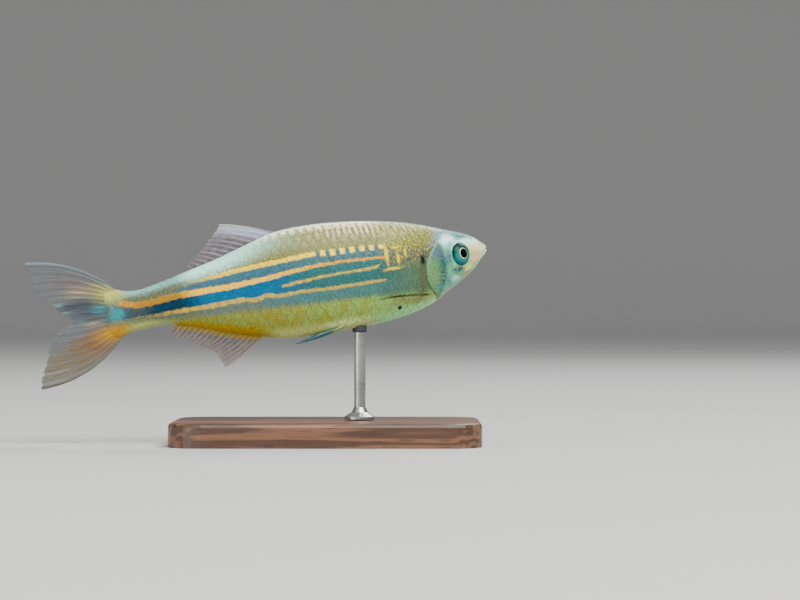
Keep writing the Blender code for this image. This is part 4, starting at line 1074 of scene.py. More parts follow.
def make_skin(sizes, colours):
    """Make the one skin that covers the head, jaw, gill covers, torso and tail stalk."""
    turns = np.linspace(0.0, math.pi / 2, 15)[1:-1]
    places = np.concatenate((
        -TAIL_TAPER * np.sin(np.linspace(math.pi / 2, 0.0, 9))[:-1],
        np.arange(0.0, 60.0, 0.6),
        np.arange(60.0, NOSE_START, 0.1),
        NOSE_START + (NOSE_TIP - NOSE_START) * np.sin(turns),
    ))
    mesh = closed_loft(places, 232, "danio_skin")
    points, normals = mesh_points(mesh), mesh_normals(mesh)
    rise, head = head_relief(points, sizes)
    rise -= sizes.coat_depth / MM * (1.0 - head[:, 2])
    keep_values(mesh, "lie", lie_of(points))
    keep_values(mesh, "head", head)
    move_points(mesh, posed(points + normals * rise[:, None]))
    nodes = ("head", "lower_jaw", "gill_cover_right", "gill_cover_left", "torso", "tail_stalk")
    add_piece("skin", mesh, skin_material(colours), nodes)


def girth_table(places):
    """Give the arc from the middle of the left flank, by place and by angle from -175 to 175."""
    angles = np.linspace(-175.0, 175.0, 351)
    points = skin_points(places[:, None], angles[None, :])
    steps = np.linalg.norm(np.diff(points, axis=1), axis=2)
    arcs = np.concatenate((np.zeros((len(places), 1)), np.cumsum(steps, axis=1)), axis=1)
    return angles, arcs - arcs[:, 175:176]


def scale_template(name):
    """Make one scale: a round, thin, closed plate, and give it with its points' places on it."""
    shape = bmesh.new()
    bmesh.ops.create_grid(shape, x_segments=6, y_segments=8, size=1.0)
    bmesh.ops.triangulate(shape, faces=shape.faces)
    grown = bmesh.ops.extrude_face_region(shape, geom=shape.faces[:])
    raised = [item for item in grown["geom"] if isinstance(item, bmesh.types.BMVert)]
    bmesh.ops.translate(shape, vec=(0, 0, 1), verts=raised)
    bmesh.ops.triangulate(shape, faces=shape.faces)
    if shape.calc_volume(signed=True) < 0:
        bmesh.ops.reverse_faces(shape, faces=shape.faces)
    mesh = mesh_from(shape, name)
    points = mesh_points(mesh)
    a, b = points[:, 0].copy(), points[:, 1].copy()
    points[:, 0] = a * np.sqrt(1 - b * b / 2)
    points[:, 1] = b * np.sqrt(1 - a * a / 2)
    faces = np.array([polygon.vertices[:] for polygon in mesh.polygons])
    bpy.data.meshes.remove(mesh)
    return points, faces


def scale_places(sizes):
    """List place, arc and row of every scale of the left flank."""
    length = np.array(((0.0, 1.4), (10.0, 1.55), (30.0, 1.9), (62.0, 2.05), (70.0, 2.05)))
    width = np.array(((0.0, 1.15), (8.0, 1.25), (20.0, 1.6), (35.0, 1.95), (50.0, 2.0), (62.0, 1.9), (70.0, 1.8)))
    columns = [69.6]
    while columns[-1] > -1.2:
        columns.append(columns[-1] - float(interpolate(length, 1, np.array(max(columns[-1], 0.0)))) * sizes.scale_spacing)
    columns = np.array(columns)
    found = []
    for row in range(-9, 10):
        shift = 0.5 * (row % 2)
        for place in np.interp(np.arange(len(columns) - 1) + shift, np.arange(len(columns)), columns):
            inside = np.array(max(place, 0.0))
            found.append((place, row * float(interpolate(width, 1, inside)), float(interpolate(length, 1, inside)),
                          float(interpolate(width, 1, inside))))
    return np.array(found)


def make_coat(word, side, sizes, colours, material):
    """Make the scales of one flank as one mesh of thin plates that overlap towards the tail."""
    template, faces = scale_template("scale")
    draw = np.random.default_rng(SEED + int(side))
    grid = np.linspace(0.0, 80.0, 161)
    angles, arcs = girth_table(grid)
    rows = []
    for place, arc, length, width in scale_places(sizes):
        inside = min(max(place, 0.0), 79.0)
        row = round(inside / 0.5)
        top, bottom = arcs[row, 265], arcs[row, 85]
        if arc > top + 0.25 * width or arc < bottom - 0.25 * width:
            continue
        angle = float(np.interp(arc, arcs[row], angles))
        root = skin_points(inside, angle)
        if line_distance(root[None, (0, 2)], GILL_LINE)[0] > -0.55:
            continue
        rows.append((place, arc, length, width, root[2]))
    rows = np.array(rows)
    count = len(rows)
    jitter = draw.uniform(-1.0, 1.0, (count, 4))
    length = rows[:, 2] * 0.74 * (1 + 0.05 * jitter[:, 0])
    width = rows[:, 3] * 1.02 * (1 + 0.05 * jitter[:, 1])
    back, over, face = template[:, 0], template[:, 1], template[:, 2]
    place = rows[:, 0, None] - back[None, :] * length[:, None]
    arc = rows[:, 1, None] + over[None, :] * width[:, None]
    at = np.clip(place, 0.0, 79.9)
    low = np.floor(at / 0.5).astype(int)
    part = at / 0.5 - low
    angle = np.empty_like(at)
    for index in range(len(grid) - 1):
        chosen = low == index
        if chosen.any():
            one = np.interp(arc[chosen], arcs[index], angles)
            two = np.interp(arc[chosen], arcs[index + 1], angles)
            angle[chosen] = one + (two - one) * part[chosen]
    at = np.maximum(place, 0.1 - TAIL_TAPER)
    surface = skin_points(at, angle)
    normal = skin_normals(at, angle)
    slope = (back[None, :] + 1) / 2
    depth = sizes.coat_depth / MM
    lift = -depth - 0.03 + (depth + 0.02) * slope * (1 + 0.2 * jitter[:, 2, None])
    lift -= 0.02 * over[None, :] ** 2
    lift -= (1 - face[None, :]) * sizes.scale_thickness / MM
    points = surface + normal * lift[..., None]
    points[..., 1] *= side
    mesh = bpy.data.meshes.new("scales_" + word)
    numbers = faces if side > 0 else faces[:, ::-1]
    every = (numbers[None, :, :] + (np.arange(count) * len(template))[:, None, None]).reshape(-1, 3)
    mesh.vertices.add(count * len(template))
    mesh.loops.add(every.size)
    mesh.loops.foreach_set("vertex_index", every.ravel())
    mesh.polygons.add(len(every))
    mesh.polygons.foreach_set("loop_start", np.arange(0, every.size, 3))
    mesh.polygons.foreach_set("loop_total", np.full(len(every), 3))
    move_points(mesh, posed(points.reshape(-1, 3)))
    mesh.validate()
    seeds = np.broadcast_to((jitter[:, 3, None] + 1) / 2, place.shape)
    spread = np.stack((np.broadcast_to(back, place.shape), np.broadcast_to(over, place.shape), seeds), -1)
    lie = lie_of(surface.reshape(-1, 3))
    keep_values(mesh, "lie", lie)
    keep_values(mesh, "scale", spread.reshape(-1, 3))
    root_map = np.stack(((rows[:, 0] + 4.0) / 92.0, 0.5 + rows[:, 1] / 60.0), -1)
    patch = np.stack((-back, over), -1) * 0.0015
    bake_map(mesh, (root_map[:, None, :] + patch[None, :, :]).reshape(-1, 2))
    mesh.set_sharp_from_angle(angle=math.radians(50))
    add_piece("scales_" + word, mesh, material)


def ray_ridge(position, along):
    """Give how near each point is to a ray's crest: rays branch twice towards the edge."""
    away = position - np.round(position)
    first = 0.17 * smooth_step(0.35, 0.75, along)
    second = 0.085 * smooth_step(0.68, 1.0, along)
    width = 0.15 - 0.085 * smooth_step(0.2, 0.9, along)
    crest = np.zeros_like(away)
    for one in (-1.0, 1.0):
        for two in (-1.0, 1.0):
            crest = np.maximum(crest, bump_at(away, one * first + two * second, width))
    return crest


def fin_mesh(name, middle, rays, sizes, start=-0.06, per_ray=12, rows=44):
    """Make a fin from its middle surface: a thin membrane with branching rays on both faces."""
    columns = per_ray * (rays - 1)
    shape = bmesh.new()
    bmesh.ops.create_grid(shape, x_segments=columns, y_segments=rows, size=0.5)
    bmesh.ops.triangulate(shape, faces=shape.faces)
    grown = bmesh.ops.extrude_face_region(shape, geom=shape.faces[:])
    raised = [item for item in grown["geom"] if isinstance(item, bmesh.types.BMVert)]
    bmesh.ops.translate(shape, vec=(0, 0, 1), verts=raised)
    mesh = mesh_from(shape, name)
    flat = mesh_points(mesh)
    face = np.where(flat[:, 2] > 0.5, 1.0, -1.0)
    across, along = flat[:, 0] + 0.5, flat[:, 1] + 0.5
    position = across * (rays - 1)
    ridge = ray_ridge(position, along)
    reach = start + (1.0 - start) * along * (1.0 - 0.022 * (1.0 - ridge) * along)
    step = 0.004
    over = middle(np.minimum(across + step, 1.0), reach) - middle(np.maximum(across - step, 0.0), reach)
    out = middle(across, reach + step) - middle(across, reach - step)
    normal = np.cross(over, out)
    normal /= np.linalg.norm(normal, axis=1, keepdims=True)
    thin = 1.0 - 0.6 * smooth_step(0.55, 1.0, along)
    half = (sizes.membrane + sizes.ray_height * ridge * (1.0 - 0.55 * along)) / MM * thin
    centre = middle(across, reach)
    points = centre + normal * (half * face)[:, None]
    root = middle(across, np.zeros_like(across))
    keep_values(mesh, "lie", np.column_stack((centre[:, 0], centre[:, 2], along)))
    keep_values(mesh, "fin", np.column_stack((position, np.linalg.norm(centre - root, axis=1), ridge)))
    move_points(mesh, posed(points))
    turned = bmesh.new()
    turned.from_mesh(mesh)
    if turned.calc_volume(signed=True) < 0:
        bmesh.ops.reverse_faces(turned, faces=turned.faces)
    turned.to_mesh(mesh)
    turned.free()
    return mesh


def bent(root, tip, bow, share):
    """Give points on gently bowed paths from roots to tips in the side view."""
    chord = tip - root
    sideways = np.stack((chord[..., 1], -chord[..., 0]), -1)
    sideways /= np.linalg.norm(sideways, axis=-1, keepdims=True)
    return root + chord * share[..., None] + sideways * (bow * 4 * share * (1 - share))[..., None]


def median_sheet(root, tip, bow, sway):
    """Give the middle surface of a fin that stands in the body's own plane."""
    def middle(across, along):
        flat = bent(root(across), tip(across), bow * (1.0 - across), along)
        side = sway * along * np.abs(along) * np.sin(3.0 * across + 0.6)
        return np.stack((flat[..., 0], side, flat[..., 1]), -1)
    return middle


def edge_root(span, column):
    """Give a root line along the back or the belly."""
    def root(across):
        place = span[0] + (span[1] - span[0]) * across
        return np.stack((place, section(place)[column]), -1)
    return root


def paired_sheet(root_points, tip_points, side, clear):
    """Give the middle surface of a paired fin, which lies back along the body."""
    root, tip = curve_through(root_points), curve_through(tip_points)

    def middle(across, along):
        start, end = root(across), tip(across)
        line = start + (end - start) * along[..., None]
        lift = end[..., 2] * np.clip(along, 0.0, 2.0) ** 1.6 + clear * smooth_step(-0.02, 0.16, along) - 0.15
        place, angle = line[..., 0], line[..., 1]
        return (skin_points(place, angle) + skin_normals(place, angle) * lift[..., None]) * (1.0, side, 1.0)
    return middle


def join_meshes(one, two, name):
    """Put two meshes together with the values that they keep."""
    things = []
    for mesh in (one, two):
        thing = bpy.data.objects.new(name, mesh)
        bpy.context.scene.collection.objects.link(thing)
        things.append(thing)
    with bpy.context.temp_override(active_object=things[0], selected_editable_objects=things, object=things[0]):
        bpy.ops.object.join()
    mesh = things[0].data
    bpy.data.objects.remove(things[0], do_unlink=True)
    mesh.name = name
    return mesh


def make_fins(sizes, colours):
    """Make every fin in place of its solid."""
    dorsal = median_sheet(edge_root(DORSAL_ROOT, 0), curve_through(DORSAL_EDGE), 0.35, 0.3)
    zones = (((17.0, 8.0), (3.0, 3.0), colours.trailing, 0.75, 0.4),)
    look = fin_material(
        "dorsal_fin_skin", colours.ray_dorsal, colours.membrane, 0.9, 0.7, zones, leading=colours.ray_pale, leading_rays=3.4,
    )
    add_piece("dorsal_fin_looks", fin_mesh("dorsal_fin_looks", dorsal, DORSAL_RAYS, sizes), look, ("dorsal_fin",))
    anal = median_sheet(edge_root(ANAL_ROOT, 1), curve_through(ANAL_EDGE), -0.4, 0.3)
    look = fin_material(
        "anal_fin_skin", colours.ray_warm, colours.membrane, 0.88, 0.6, root=colours.anal_base, leading=colours.ray_warm,
    )
    add_piece("anal_fin_looks", fin_mesh("anal_fin_looks", anal, ANAL_RAYS, sizes), look, ("anal_fin",))
    upper = median_sheet(curve_through(CAUDAL_UPPER_ROOT), curve_through(CAUDAL_UPPER_EDGE), 1.9, 0.5)
    lower = median_sheet(curve_through(CAUDAL_LOWER_ROOT), curve_through(CAUDAL_LOWER_EDGE), -2.2, -0.5)
    caudal = join_meshes(
        fin_mesh("caudal_upper", upper, CAUDAL_UPPER_RAYS, sizes, -0.03, rows=64),
        fin_mesh("caudal_lower", lower, CAUDAL_LOWER_RAYS, sizes, -0.03, rows=64),
        "caudal_fin_looks",
    )
    zones = (
        ((-14.5, -11.0), (5.5, 3.0), colours.lobe_tan, 0.75, 0.6),
        ((-10.0, -8.6), (4.8, 2.8), colours.lobe_tan, 0.85, 0.7),
        ((-5.6, -6.6), (3.8, 2.4), colours.lobe_brown, 0.95, 0.8),
        ((-9.0, 6.8), (5.0, 2.0), colours.trailing, 0.75, 0.4),
        ((-5.6, 4.9), (4.2, 1.2), colours.ray_gold, 0.95, 0.4),
        ((-1.8, 3.2), (3.0, 1.7), colours.cream_tail, 0.97, 0.95),
        ((-8.0, 1.9), (5.2, 1.1), colours.slate_ray, 0.95, 0.75),
        ((-6.8, -0.2), (4.4, 1.0), colours.slate_ray, 0.92, 0.6),
        ((-3.6, 0.6), (1.5, 0.8), colours.turquoise, 0.97, 0.8),
        ((-1.2, -1.5), (1.3, 0.8), colours.turquoise, 0.97, 0.9),
        ((-12.2, 2.7), (1.0, 0.3), colours.teal_tip, 0.95, 0.6),
        ((-11.0, 0.9), (0.8, 0.22), colours.teal_tip, 0.9, 0.6),
        ((-8.0, -1.4), (1.2, 0.25), colours.teal_tip, 0.95, 0.6),
        ((-5.6, -2.3), (1.6, 0.3), colours.ray_gold, 0.95, 0.6),
        ((-2.0, -4.8), (3.4, 1.6), colours.orange, 0.98, 1.0),
    )
    look = fin_material(
        "caudal_fin_skin", colours.ray_grey, colours.membrane_tail, 0.86, 0.58, zones, root=colours.tail_root,
        root_reach=5.5, leading=colours.edge_pale, under=colours.edge_dark,
    )
    add_piece("caudal_fin_looks", caudal, look, ("caudal_fin_upper", "caudal_fin_lower"))
    # Painted shadow: the pectoral fins' leading ray is dark olive, as the shadow line along the fin's upper edge
    pectoral_look = fin_material(
        "pectoral_fin_skin", colours.ray_olive, colours.membrane_olive, 0.26, 0.05, leading=colours.olive_dark,
        leading_rays=0.3,
    )
    pelvic_look = fin_material(
        "pelvic_fin_skin", colours.ray_blue, colours.membrane_blue, 0.9, 0.6,
        root=colours.belly_low, root_reach=3.5,
    )
    for word, side in (("right", -1.0), ("left", 1.0)):
        sheet = paired_sheet(PECTORAL_ROOT, PECTORAL_TIPS, side, 0.45)
        mesh = fin_mesh("pectoral_fin_looks_" + word, sheet, PECTORAL_RAYS, sizes, per_ray=10, rows=36)
        add_piece(mesh.name, mesh, pectoral_look, ("pectoral_fin_" + word,))
        sheet = paired_sheet(PELVIC_ROOT, PELVIC_TIPS, side, 0.5)
        mesh = fin_mesh("pelvic_fin_looks_" + word, sheet, PELVIC_RAYS, sizes, per_ray=10, rows=36)
        add_piece(mesh.name, mesh, pelvic_look, ("pelvic_fin_" + word,))


def make_eyes(colours):
    """Make both eyes in place of their solids."""
    material = eye_material(colours)
    for word, side in (("right", -1.0), ("left", 1.0)):
        shape = bmesh.new()
        bmesh.ops.create_uvsphere(shape, u_segments=64, v_segments=40, radius=1.0)
        mesh = mesh_from(shape, "eye_looks_" + word)
        ball = mesh_points(mesh) * (EYE_RADIUS, EYE_RADIUS, EYE_HALF_DEPTH)
        centre, ahead, upward, outward = eye_frame(side)
        points = centre + ball[:, :1] * ahead + ball[:, 1:2] * upward + ball[:, 2:] * outward
        keep_values(mesh, "eye", ball)
        move_points(mesh, posed(points))
        turned = bmesh.new()
        turned.from_mesh(mesh)
        bmesh.ops.recalc_face_normals(turned, faces=turned.faces)
        turned.to_mesh(mesh)
        turned.free()
        add_piece(mesh.name, mesh, material, ("eye_" + word,))


def finish_stand(colours):
    """Give the base and rod their finishes, and set the pad between the rod and the belly."""
    for name, material in (("stand_base", wood_material(colours)), ("stand_rod", steel_material(colours))):
        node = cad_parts[name]
        node.data.materials.clear()
        node.data.materials.append(material)
    low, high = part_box("stand_rod")
    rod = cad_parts["stand_rod"].data
    heads = [vertex.co for vertex in rod.vertices if vertex.co.z > high.z - 1.5 * MM]
    centre = sum(heads, Vector()) / len(heads)
    radius = max(math.hypot(point.x - centre.x, point.y - centre.y) for point in heads) + 0.25 * MM
    shape = bmesh.new()
    bottom, top = high.z - 1.1 * MM, high.z + 0.45 * MM
    ease = 0.2 * MM
    profile = (
        (0.0, bottom), (radius - ease, bottom), (radius, bottom + ease), (radius, top - ease),
        (radius - ease, top), (0.0, top),
    )
    corners = [shape.verts.new((reach, 0.0, height)) for reach, height in profile]
    edges = [shape.edges.new(pair) for pair in zip(corners, corners[1:])]
    bmesh.ops.spin(shape, geom=corners + edges, cent=(0, 0, 0), axis=(0, 0, 1), steps=40, angle=2 * math.pi, use_merge=True)
    bmesh.ops.remove_doubles(shape, verts=shape.verts, dist=0.00001)
    bmesh.ops.recalc_face_normals(shape, faces=shape.faces)
    bmesh.ops.translate(shape, vec=(centre.x, centre.y, 0.0), verts=shape.verts)
    add_piece("stand_pad", mesh_from(shape, "stand_pad"), pad_material(colours))


# Settings


def length_setting(name, description, millimetres):
    """Declare a length in metres from its size in mm."""
    return bpy.props.FloatProperty(
        name=name, description=description, default=millimetres * MM, subtype="DISTANCE", unit="LENGTH", precision=5,
    )


def colour_setting(name, description, red, green, blue):
    """Declare a colour from its screen values."""
    return bpy.props.FloatVectorProperty(
        name=name, description=description, default=tone(red, green, blue), subtype="COLOR", size=3, min=0.0, max=1.0,
    )


class DanioSizes(bpy.types.PropertyGroup):
    """Sizes of the skin's relief, the scales and the fins."""

    coat_depth: length_setting("Coat depth", "How far the skin lies under the tips of the scales", 0.055)
    gill_groove: length_setting("Gill groove", "Depth of the groove behind the gill cover, times 1000", 250.0)
    lip_rise: length_setting("Lip rise", "Height of the lips, times 1000", 140.0)
    mouth_depth: length_setting("Mouth depth", "Depth of the line of the mouth, times 1000", 340.0)
    socket_depth: length_setting("Socket depth", "How far the skin sinks under the eye, times 1000", 1100.0)
    scale_spacing: bpy.props.FloatProperty(
        name="Scale spacing", description="Spacing of the scales along the body, 1 as on the real fish", default=1.0,
        min=0.7, max=1.5,
    )
    scale_thickness: length_setting("Scale thickness", "Thickness of one scale", 0.022)
    membrane: length_setting("Membrane", "Half the thickness of a fin's membrane", 0.05)
    ray_height: length_setting("Ray height", "Height of a fin ray over the membrane", 0.13)


class DanioColours(bpy.types.PropertyGroup):
    """Colours of the fish and its stand."""

    flank: colour_setting("Flank", "Upper flank towards the head", 112, 117, 60)
    flank_rear: colour_setting("Rear flank", "Upper flank towards the tail", 118, 126, 85)
    flank_light: colour_setting("Light flank", "Light specks of the upper flank", 144, 137, 92)
    # Pale back, partly a painted highlight of the light from above
    back: colour_setting("Back", "Along the back", 201, 231, 217)
    nape: colour_setting("Nape", "Along the back behind the head", 147, 179, 182)
    olive_back: colour_setting("Olive back", "Middle of the back and the top of the head", 78, 92, 76)
    olive_tail: colour_setting("Olive tail", "Upper side of the tail stalk", 72, 72, 37)
    # Pale rear back with a painted highlight of the light from above
    rear_back_and_highlight: colour_setting("Rear back", "Along the back near the tail", 170, 227, 214)
    back_tail: colour_setting("Back of the tail", "Top of the tail stalk", 42, 68, 66)
    belly_rear: colour_setting("Rear belly", "Lower flank towards the tail", 128, 148, 70)
    belly_low: colour_setting("Low belly", "Lower edge of the belly ahead of the anal fin", 190, 200, 118)
    belly_front: colour_setting("Front belly", "Lower flank towards the head", 138, 200, 106)
    belly_gold: colour_setting("Gold belly", "Gold clouds of the belly", 144, 124, 10)
    # Colour of the painted highlight on the belly
    belly_painted_highlight: colour_setting("Belly gleam", "Bright patch above the pelvic fins", 222, 246, 170)
    belly_edge: colour_setting("Belly edge", "Mint edge of the front belly", 154, 226, 148)
    anal_base: colour_setting("Ochre band", "Along the root of the anal fin", 168, 137, 0)
    stalk_under: colour_setting("Under the tail", "Underside of the tail stalk", 160, 170, 101)
    blue: colour_setting("Blue", "Blue of the flank", 0, 91, 131)
    blue_tail: colour_setting("Tail blue", "Dark blue near the tail", 0, 42, 63)
    blue_front: colour_setting("Front blue", "Teal blue towards the head", 44, 93, 90)
    blue_grey: colour_setting("Grey blue", "Over the main line", 63, 93, 98)
    blue_light: colour_setting("Light blue", "Glints in the blue", 0, 110, 134)
    teal: colour_setting("Teal", "Under the lower line towards the head", 72, 111, 105)
    teal_rear: colour_setting("Rear teal", "Under the lower line towards the tail", 101, 108, 84)
    green: colour_setting("Green", "Behind the gill cover", 51, 92, 77)
    slate: colour_setting("Slate", "Ground of the shoulder", 60, 76, 72)
    gold: colour_setting("Gold", "Upper line and shoulder marks", 242, 202, 0)
    cream: colour_setting("Cream", "Dashes of the back and patch of the tail", 255, 240, 190)
    main_rear: colour_setting("Main line", "Main line in the middle of the body", 255, 194, 0)
    main_tail: colour_setting("Main line at the tail", "Main line near the tail", 155, 111, 7)
    main_front: colour_setting("Main line in front", "Main line towards the head", 205, 137, 0)
    pale_line: colour_setting("Pale lines", "Middle and lower lines", 205, 170, 43)
    turquoise: colour_setting("Turquoise", "Mark at the tail base", 25, 128, 136)
    orange: colour_setting("Orange", "Spot at the lower root of the tail fin", 168, 121, 0)
    # Dark specks, and the pectoral fins' leading ray painted as the fin's shadow line
    olive_dark: colour_setting("Dark olive", "Creases behind the gill cover", 57, 54, 17)
    black: colour_setting("Black", "Shoulder spot", 3, 21, 24)
    cheek: colour_setting("Cheek", "Sides of the head", 95, 187, 144)
    crown: colour_setting("Crown", "Top of the head", 25, 94, 96)
    silver: colour_setting("Silver", "Silver glints and patches of the head", 214, 250, 246)
    turquoise_pale: colour_setting("Pale turquoise", "Disc above the gill cover", 113, 179, 171)
    cheek_gold: colour_setting("Cheek gold", "Under the eye", 255, 246, 88)
    snout: colour_setting("Snout", "Before and under the eye", 232, 190, 128)
    snout_white: colour_setting("White snout", "Ridge of the snout and the lips", 252, 240, 185)
    throat: colour_setting("Throat", "Under the head", 147, 140, 100)
    cover_green: colour_setting("Gill cover", "Rear of the gill cover", 87, 134, 79)
    cover_teal: colour_setting("Gill cover front", "Front of the gill cover", 13, 79, 80)
    cover_gold: colour_setting("Gill cover stripes", "Pale stripes of the gill cover", 114, 140, 74)
    cover_top: colour_setting("Gill cover top", "Top of the gill cover", 74, 96, 110)
    cover_dark: colour_setting("Gill cover shade", "Dark stripes of the gill cover", 22, 51, 43)
    cover_blue: colour_setting("Gill cover blue", "Blue patch before the gill cover", 69, 107, 123)
    cover_rim: colour_setting("Gill cover edge", "Pale rear edge of the gill cover", 106, 127, 94)
    # Painted shade of the head's grooves, mouth, nostrils and eye sockets, and the painted shadow of the pectoral fin
    crease: colour_setting("Crease", "Deep lines of the head", 25, 30, 21)
    tail_root: colour_setting("Tail root", "End of the body under the tail fin", 76, 99, 94)
    # Colour of the painted reflection under the pectoral fin
    cream_tail: colour_setting("Tail cream", "Cream patch at the tail and pale front ray", 165, 167, 79)
    tan: colour_setting("Tan", "Under the pectoral fin", 145, 124, 58)
    edge_pale: colour_setting("Pale edge", "Upper edge of the tail fin", 115, 132, 139)
    edge_dark: colour_setting("Dark edge", "Lower edge of the tail fin", 80, 76, 64)
    ray_dorsal: colour_setting("Dorsal rays", "Rear rays of the dorsal fin", 132, 132, 141)
    shoulder_gold: colour_setting("Shoulder gold", "Ground of the upper shoulder", 95, 105, 35)
    shoulder_light: colour_setting("Light shoulder gold", "Specks and bars of the shoulder", 196, 163, 23)
    belly_shade: colour_setting("Belly shade", "Fine dark specks of the belly", 67, 80, 25)
    # Colour of the painted shade behind the gill cover
    groove: colour_setting("Gill shade", "Band behind the gill cover", 77, 78, 46)
    trailing: colour_setting("Trailing edge", "Rear part of the dorsal fin", 111, 94, 90)
    lobe_brown: colour_setting("Lobe brown", "Orange brown of the lower lobe", 120, 83, 30)
    rim: colour_setting("Scale rim", "Rim of each scale", 120, 120, 105)
    ray_pale: colour_setting("Pale rays", "Rays of the dorsal fin", 162, 168, 182)
    ray_warm: colour_setting("Warm rays", "Rays of the anal fin", 135, 127, 115)
    ray_grey: colour_setting("Grey rays", "Rays of the tail fin", 99, 105, 109)
    ray_gold: colour_setting("Gold rays", "Upper middle rays of the tail fin", 177, 156, 99)
    ray_olive: colour_setting("Olive rays", "Rays of the pectoral fins", 111, 106, 71)
    ray_blue: colour_setting("Blue rays", "Rays of the pelvic fins", 96, 146, 160)
    membrane: colour_setting("Membrane", "Membrane of the dorsal and anal fins", 98, 91, 93)
    membrane_tail: colour_setting("Tail membrane", "Membrane of the tail fin", 93, 98, 102)
    membrane_olive: colour_setting("Pectoral membrane", "Membrane of the pectoral fins", 131, 138, 94)
    membrane_blue: colour_setting("Pelvic membrane", "Membrane of the pelvic fins", 58, 107, 119)
    slate_ray: colour_setting("Slate rays", "Middle rays of the tail fin", 14, 44, 57)
    teal_tip: colour_setting("Teal tips", "Tips of the middle rays", 99, 153, 149)
    lobe_tan: colour_setting("Lower lobe", "Lower lobe of the tail fin", 104, 87, 53)
    iris: colour_setting("Iris", "Iris of the eye", 16, 82, 81)
    iris_light: colour_setting("Light iris", "Light lines of the iris", 34, 116, 107)
    iris_rear: colour_setting("Rear iris", "Rear of the iris", 22, 108, 113)
    iris_dark: colour_setting("Dark iris", "Rim and upper crescent of the iris", 0, 42, 39)
    iris_ring: colour_setting("Iris ring", "Pale ring round the pupil", 192, 188, 120)
    pupil: colour_setting("Pupil", "Pupil of the eye", 1, 6, 9)
    wood: colour_setting("Wood", "Light grain of the base", 106, 72, 48)
    wood_dark: colour_setting("Dark wood", "Dark grain of the base", 67, 42, 28)
    wood_pore: colour_setting("Pores", "Pores of the wood", 41, 25, 16)
    steel: colour_setting("Steel", "Rod", 147, 147, 148)
    steel_light: colour_setting("Light steel", "Light clouds on the rod", 175, 175, 177)
    pad: colour_setting("Pad", "Felt pad on the rod", 34, 35, 37)
    pad_light: colour_setting("Light pad", "Fuzz of the felt pad", 60, 62, 64)


class DanioStage(bpy.types.PropertyGroup):
    """Camera, floor and lights."""

    camera_distance: length_setting("Camera distance", "From the lens to the tail base", 600.0)
    pixels_per_metre: bpy.props.FloatProperty(
        name="Pixels per metre", description="Scale of the photograph at the tail base", default=4840.0,
    )
    floor_radius: length_setting("Floor radius", "Radius of the floor up to its curved wall", 1800.0)
    floor_colour: colour_setting("Floor", "Plain pale floor", 175, 175, 173)
    key_power: bpy.props.FloatProperty(name="Key light", description="Power of the key light", default=21.6, unit="POWER")
    fill_power: bpy.props.FloatProperty(name="Fill light", description="Power of the fill light", default=8.1, unit="POWER")
    rim_power: bpy.props.FloatProperty(name="Rim light", description="Power of the rim light", default=4.0, unit="POWER")
    world_strength: bpy.props.FloatProperty(name="Surroundings", description="Light from all around", default=0.567)


# Operators


class DANIO_OT_markings(bpy.types.Operator):
    """Make the shared paint of the flank"""

    bl_idname = "danio.markings"
    bl_label = "Markings"

    def execute(self, context):
        markings_group(context.scene.danio_paint)
        return {"FINISHED"}


class DANIO_OT_skin(bpy.types.Operator):
    """Make the skin with its head relief"""

    bl_idname = "danio.skin"
    bl_label = "Skin"

    def execute(self, context):
        make_skin(context.scene.danio_sizes, context.scene.danio_paint)
        return {"FINISHED"}


class DANIO_OT_scales(bpy.types.Operator):
    """Make the scales of both flanks"""

    bl_idname = "danio.scales"
    bl_label = "Scales"

    def execute(self, context):
        colours = context.scene.danio_paint
        material = scale_material(colours)
        for word, side in (("right", -1.0), ("left", 1.0)):
            make_coat(word, side, context.scene.danio_sizes, colours, material)
        return {"FINISHED"}


class DANIO_OT_fins(bpy.types.Operator):
    """Make all the fins"""

    bl_idname = "danio.fins"
    bl_label = "Fins"

    def execute(self, context):
        make_fins(context.scene.danio_sizes, context.scene.danio_paint)
        return {"FINISHED"}


class DANIO_OT_eyes(bpy.types.Operator):
    """Make both eyes"""

    bl_idname = "danio.eyes"
    bl_label = "Eyes"

    def execute(self, context):
        make_eyes(context.scene.danio_paint)
        return {"FINISHED"}


class DANIO_OT_stand(bpy.types.Operator):
    """Finish the base and the rod, and add the pad"""

    bl_idname = "danio.stand"
    bl_label = "Stand"

    def execute(self, context):
        finish_stand(context.scene.danio_paint)
        return {"FINISHED"}


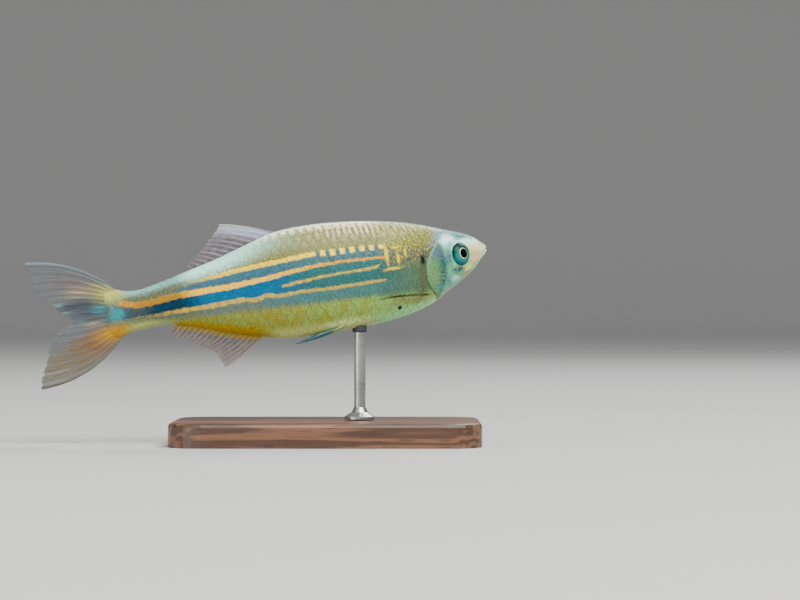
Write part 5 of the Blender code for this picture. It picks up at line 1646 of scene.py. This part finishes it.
class DANIO_OT_stage(bpy.types.Operator):
    """Set the camera, the floor and the lights"""

    bl_idname = "danio.stage"
    bl_label = "Stage"

    def execute(self, context):
        stage = context.scene.danio_stage
        camera_data = bpy.data.cameras.new("camera")
        camera = bpy.data.objects.new("camera", camera_data)
        context.scene.collection.objects.link(camera)
        scale = stage.pixels_per_metre
        base = TAIL_BASE * MM
        camera.location = (base[0] + (400 - 118) / scale, base[1] - stage.camera_distance, base[2] + (309 - 300) / scale)
        camera.rotation_euler = (math.pi / 2, 0.0, 0.0)
        camera_data.sensor_width = 36.0
        camera_data.lens = camera_data.sensor_width * stage.camera_distance * scale / 800
        camera_data.clip_start = 0.01
        camera_data.clip_end = 20.0
        context.scene.camera = camera

        shape = bmesh.new()
        radius, bend = stage.floor_radius, 0.6 * stage.floor_radius
        profile = [(0.0, 0.0), (0.2 * radius, 0.0), (radius, 0.0)]
        for step in range(1, 13):
            turn = math.pi / 2 * step / 12
            profile.append((radius + bend * math.sin(turn), bend * (1 - math.cos(turn))))
        profile.append((radius + bend, 2 * bend))
        corners = [shape.verts.new((reach, 0.0, height)) for reach, height in profile]
        edges = [shape.edges.new(pair) for pair in zip(corners, corners[1:])]
        bmesh.ops.spin(shape, geom=corners + edges, cent=(0, 0, 0), axis=(0, 0, 1), steps=64, angle=2 * math.pi, use_merge=True)
        bmesh.ops.remove_doubles(shape, verts=shape.verts, dist=0.0001)
        bmesh.ops.recalc_face_normals(shape, faces=shape.faces)
        bmesh.ops.reverse_faces(shape, faces=shape.faces)
        mesh = mesh_from(shape, "floor")
        mesh.materials.append(stage_material(stage))
        mesh.shade_smooth()
        floor = bpy.data.objects.new("floor", mesh)
        context.scene.collection.objects.link(floor)

        middle = Vector((0.0, 0.0, 0.03))
        for name, place, size, power, colour in (
            ("key_light", (0.3, -0.48, 0.75), 0.8, stage.key_power, (1.0, 0.99, 0.97)),
            ("fill_light", (-0.7, -0.75, 0.3), 0.7, stage.fill_power, (1.0, 0.98, 0.95)),
            ("rim_light", (0.25, 0.5, 0.6), 0.4, stage.rim_power, (0.95, 0.98, 1.0)),
        ):
            light_data = bpy.data.lights.new(name, "AREA")
            light_data.shape = "DISK"
            light_data.size = size
            light_data.energy = power
            light_data.color = colour
            light = bpy.data.objects.new(name, light_data)
            context.scene.collection.objects.link(light)
            light.location = place
            light.rotation_euler = (Vector(place) - middle).to_track_quat("Z", "Y").to_euler()
        world = bpy.data.worlds.new("studio")
        world.use_nodes = True
        background = world.node_tree.nodes["Background"]
        background.inputs["Color"].default_value = (0.94, 0.97, 1.0, 1.0)
        background.inputs["Strength"].default_value = stage.world_strength
        context.scene.world = world
        return {"FINISHED"}


class DANIO_PT_panel(bpy.types.Panel):
    """Lists the steps and their settings"""

    bl_idname = "DANIO_PT_panel"
    bl_label = "Giant danio"
    bl_space_type = "VIEW_3D"
    bl_region_type = "UI"
    bl_category = "Danio"

    def draw(self, context):
        for step in STEPS:
            self.layout.operator(step.bl_idname)
        for settings in (context.scene.danio_sizes, context.scene.danio_paint, context.scene.danio_stage):
            box = self.layout.box()
            for name in settings.bl_rna.properties.keys():
                if name not in ("rna_type", "name"):
                    box.prop(settings, name)


STEPS = (
    DANIO_OT_markings, DANIO_OT_skin, DANIO_OT_scales, DANIO_OT_fins, DANIO_OT_eyes, DANIO_OT_stand, DANIO_OT_stage,
)
CLASSES = (DanioSizes, DanioColours, DanioStage, *STEPS, DANIO_PT_panel)


def register():
    """Add the classes and the scene's settings."""
    for item in CLASSES:
        bpy.utils.register_class(item)
    bpy.types.Scene.danio_sizes = bpy.props.PointerProperty(type=DanioSizes)
    bpy.types.Scene.danio_paint = bpy.props.PointerProperty(type=DanioColours)
    bpy.types.Scene.danio_stage = bpy.props.PointerProperty(type=DanioStage)


def unregister():
    """Take the classes and the settings away."""
    del bpy.types.Scene.danio_sizes
    del bpy.types.Scene.danio_paint
    del bpy.types.Scene.danio_stage
    for item in reversed(CLASSES):
        bpy.utils.unregister_class(item)


def main():
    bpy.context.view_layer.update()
    register()
    bpy.ops.danio.stage()
    bpy.ops.danio.markings()
    bpy.ops.danio.skin()
    bpy.ops.danio.scales()
    bpy.ops.danio.fins()
    bpy.ops.danio.eyes()
    bpy.ops.danio.stand()
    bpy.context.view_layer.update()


if __name__ == "__main__":
    main()
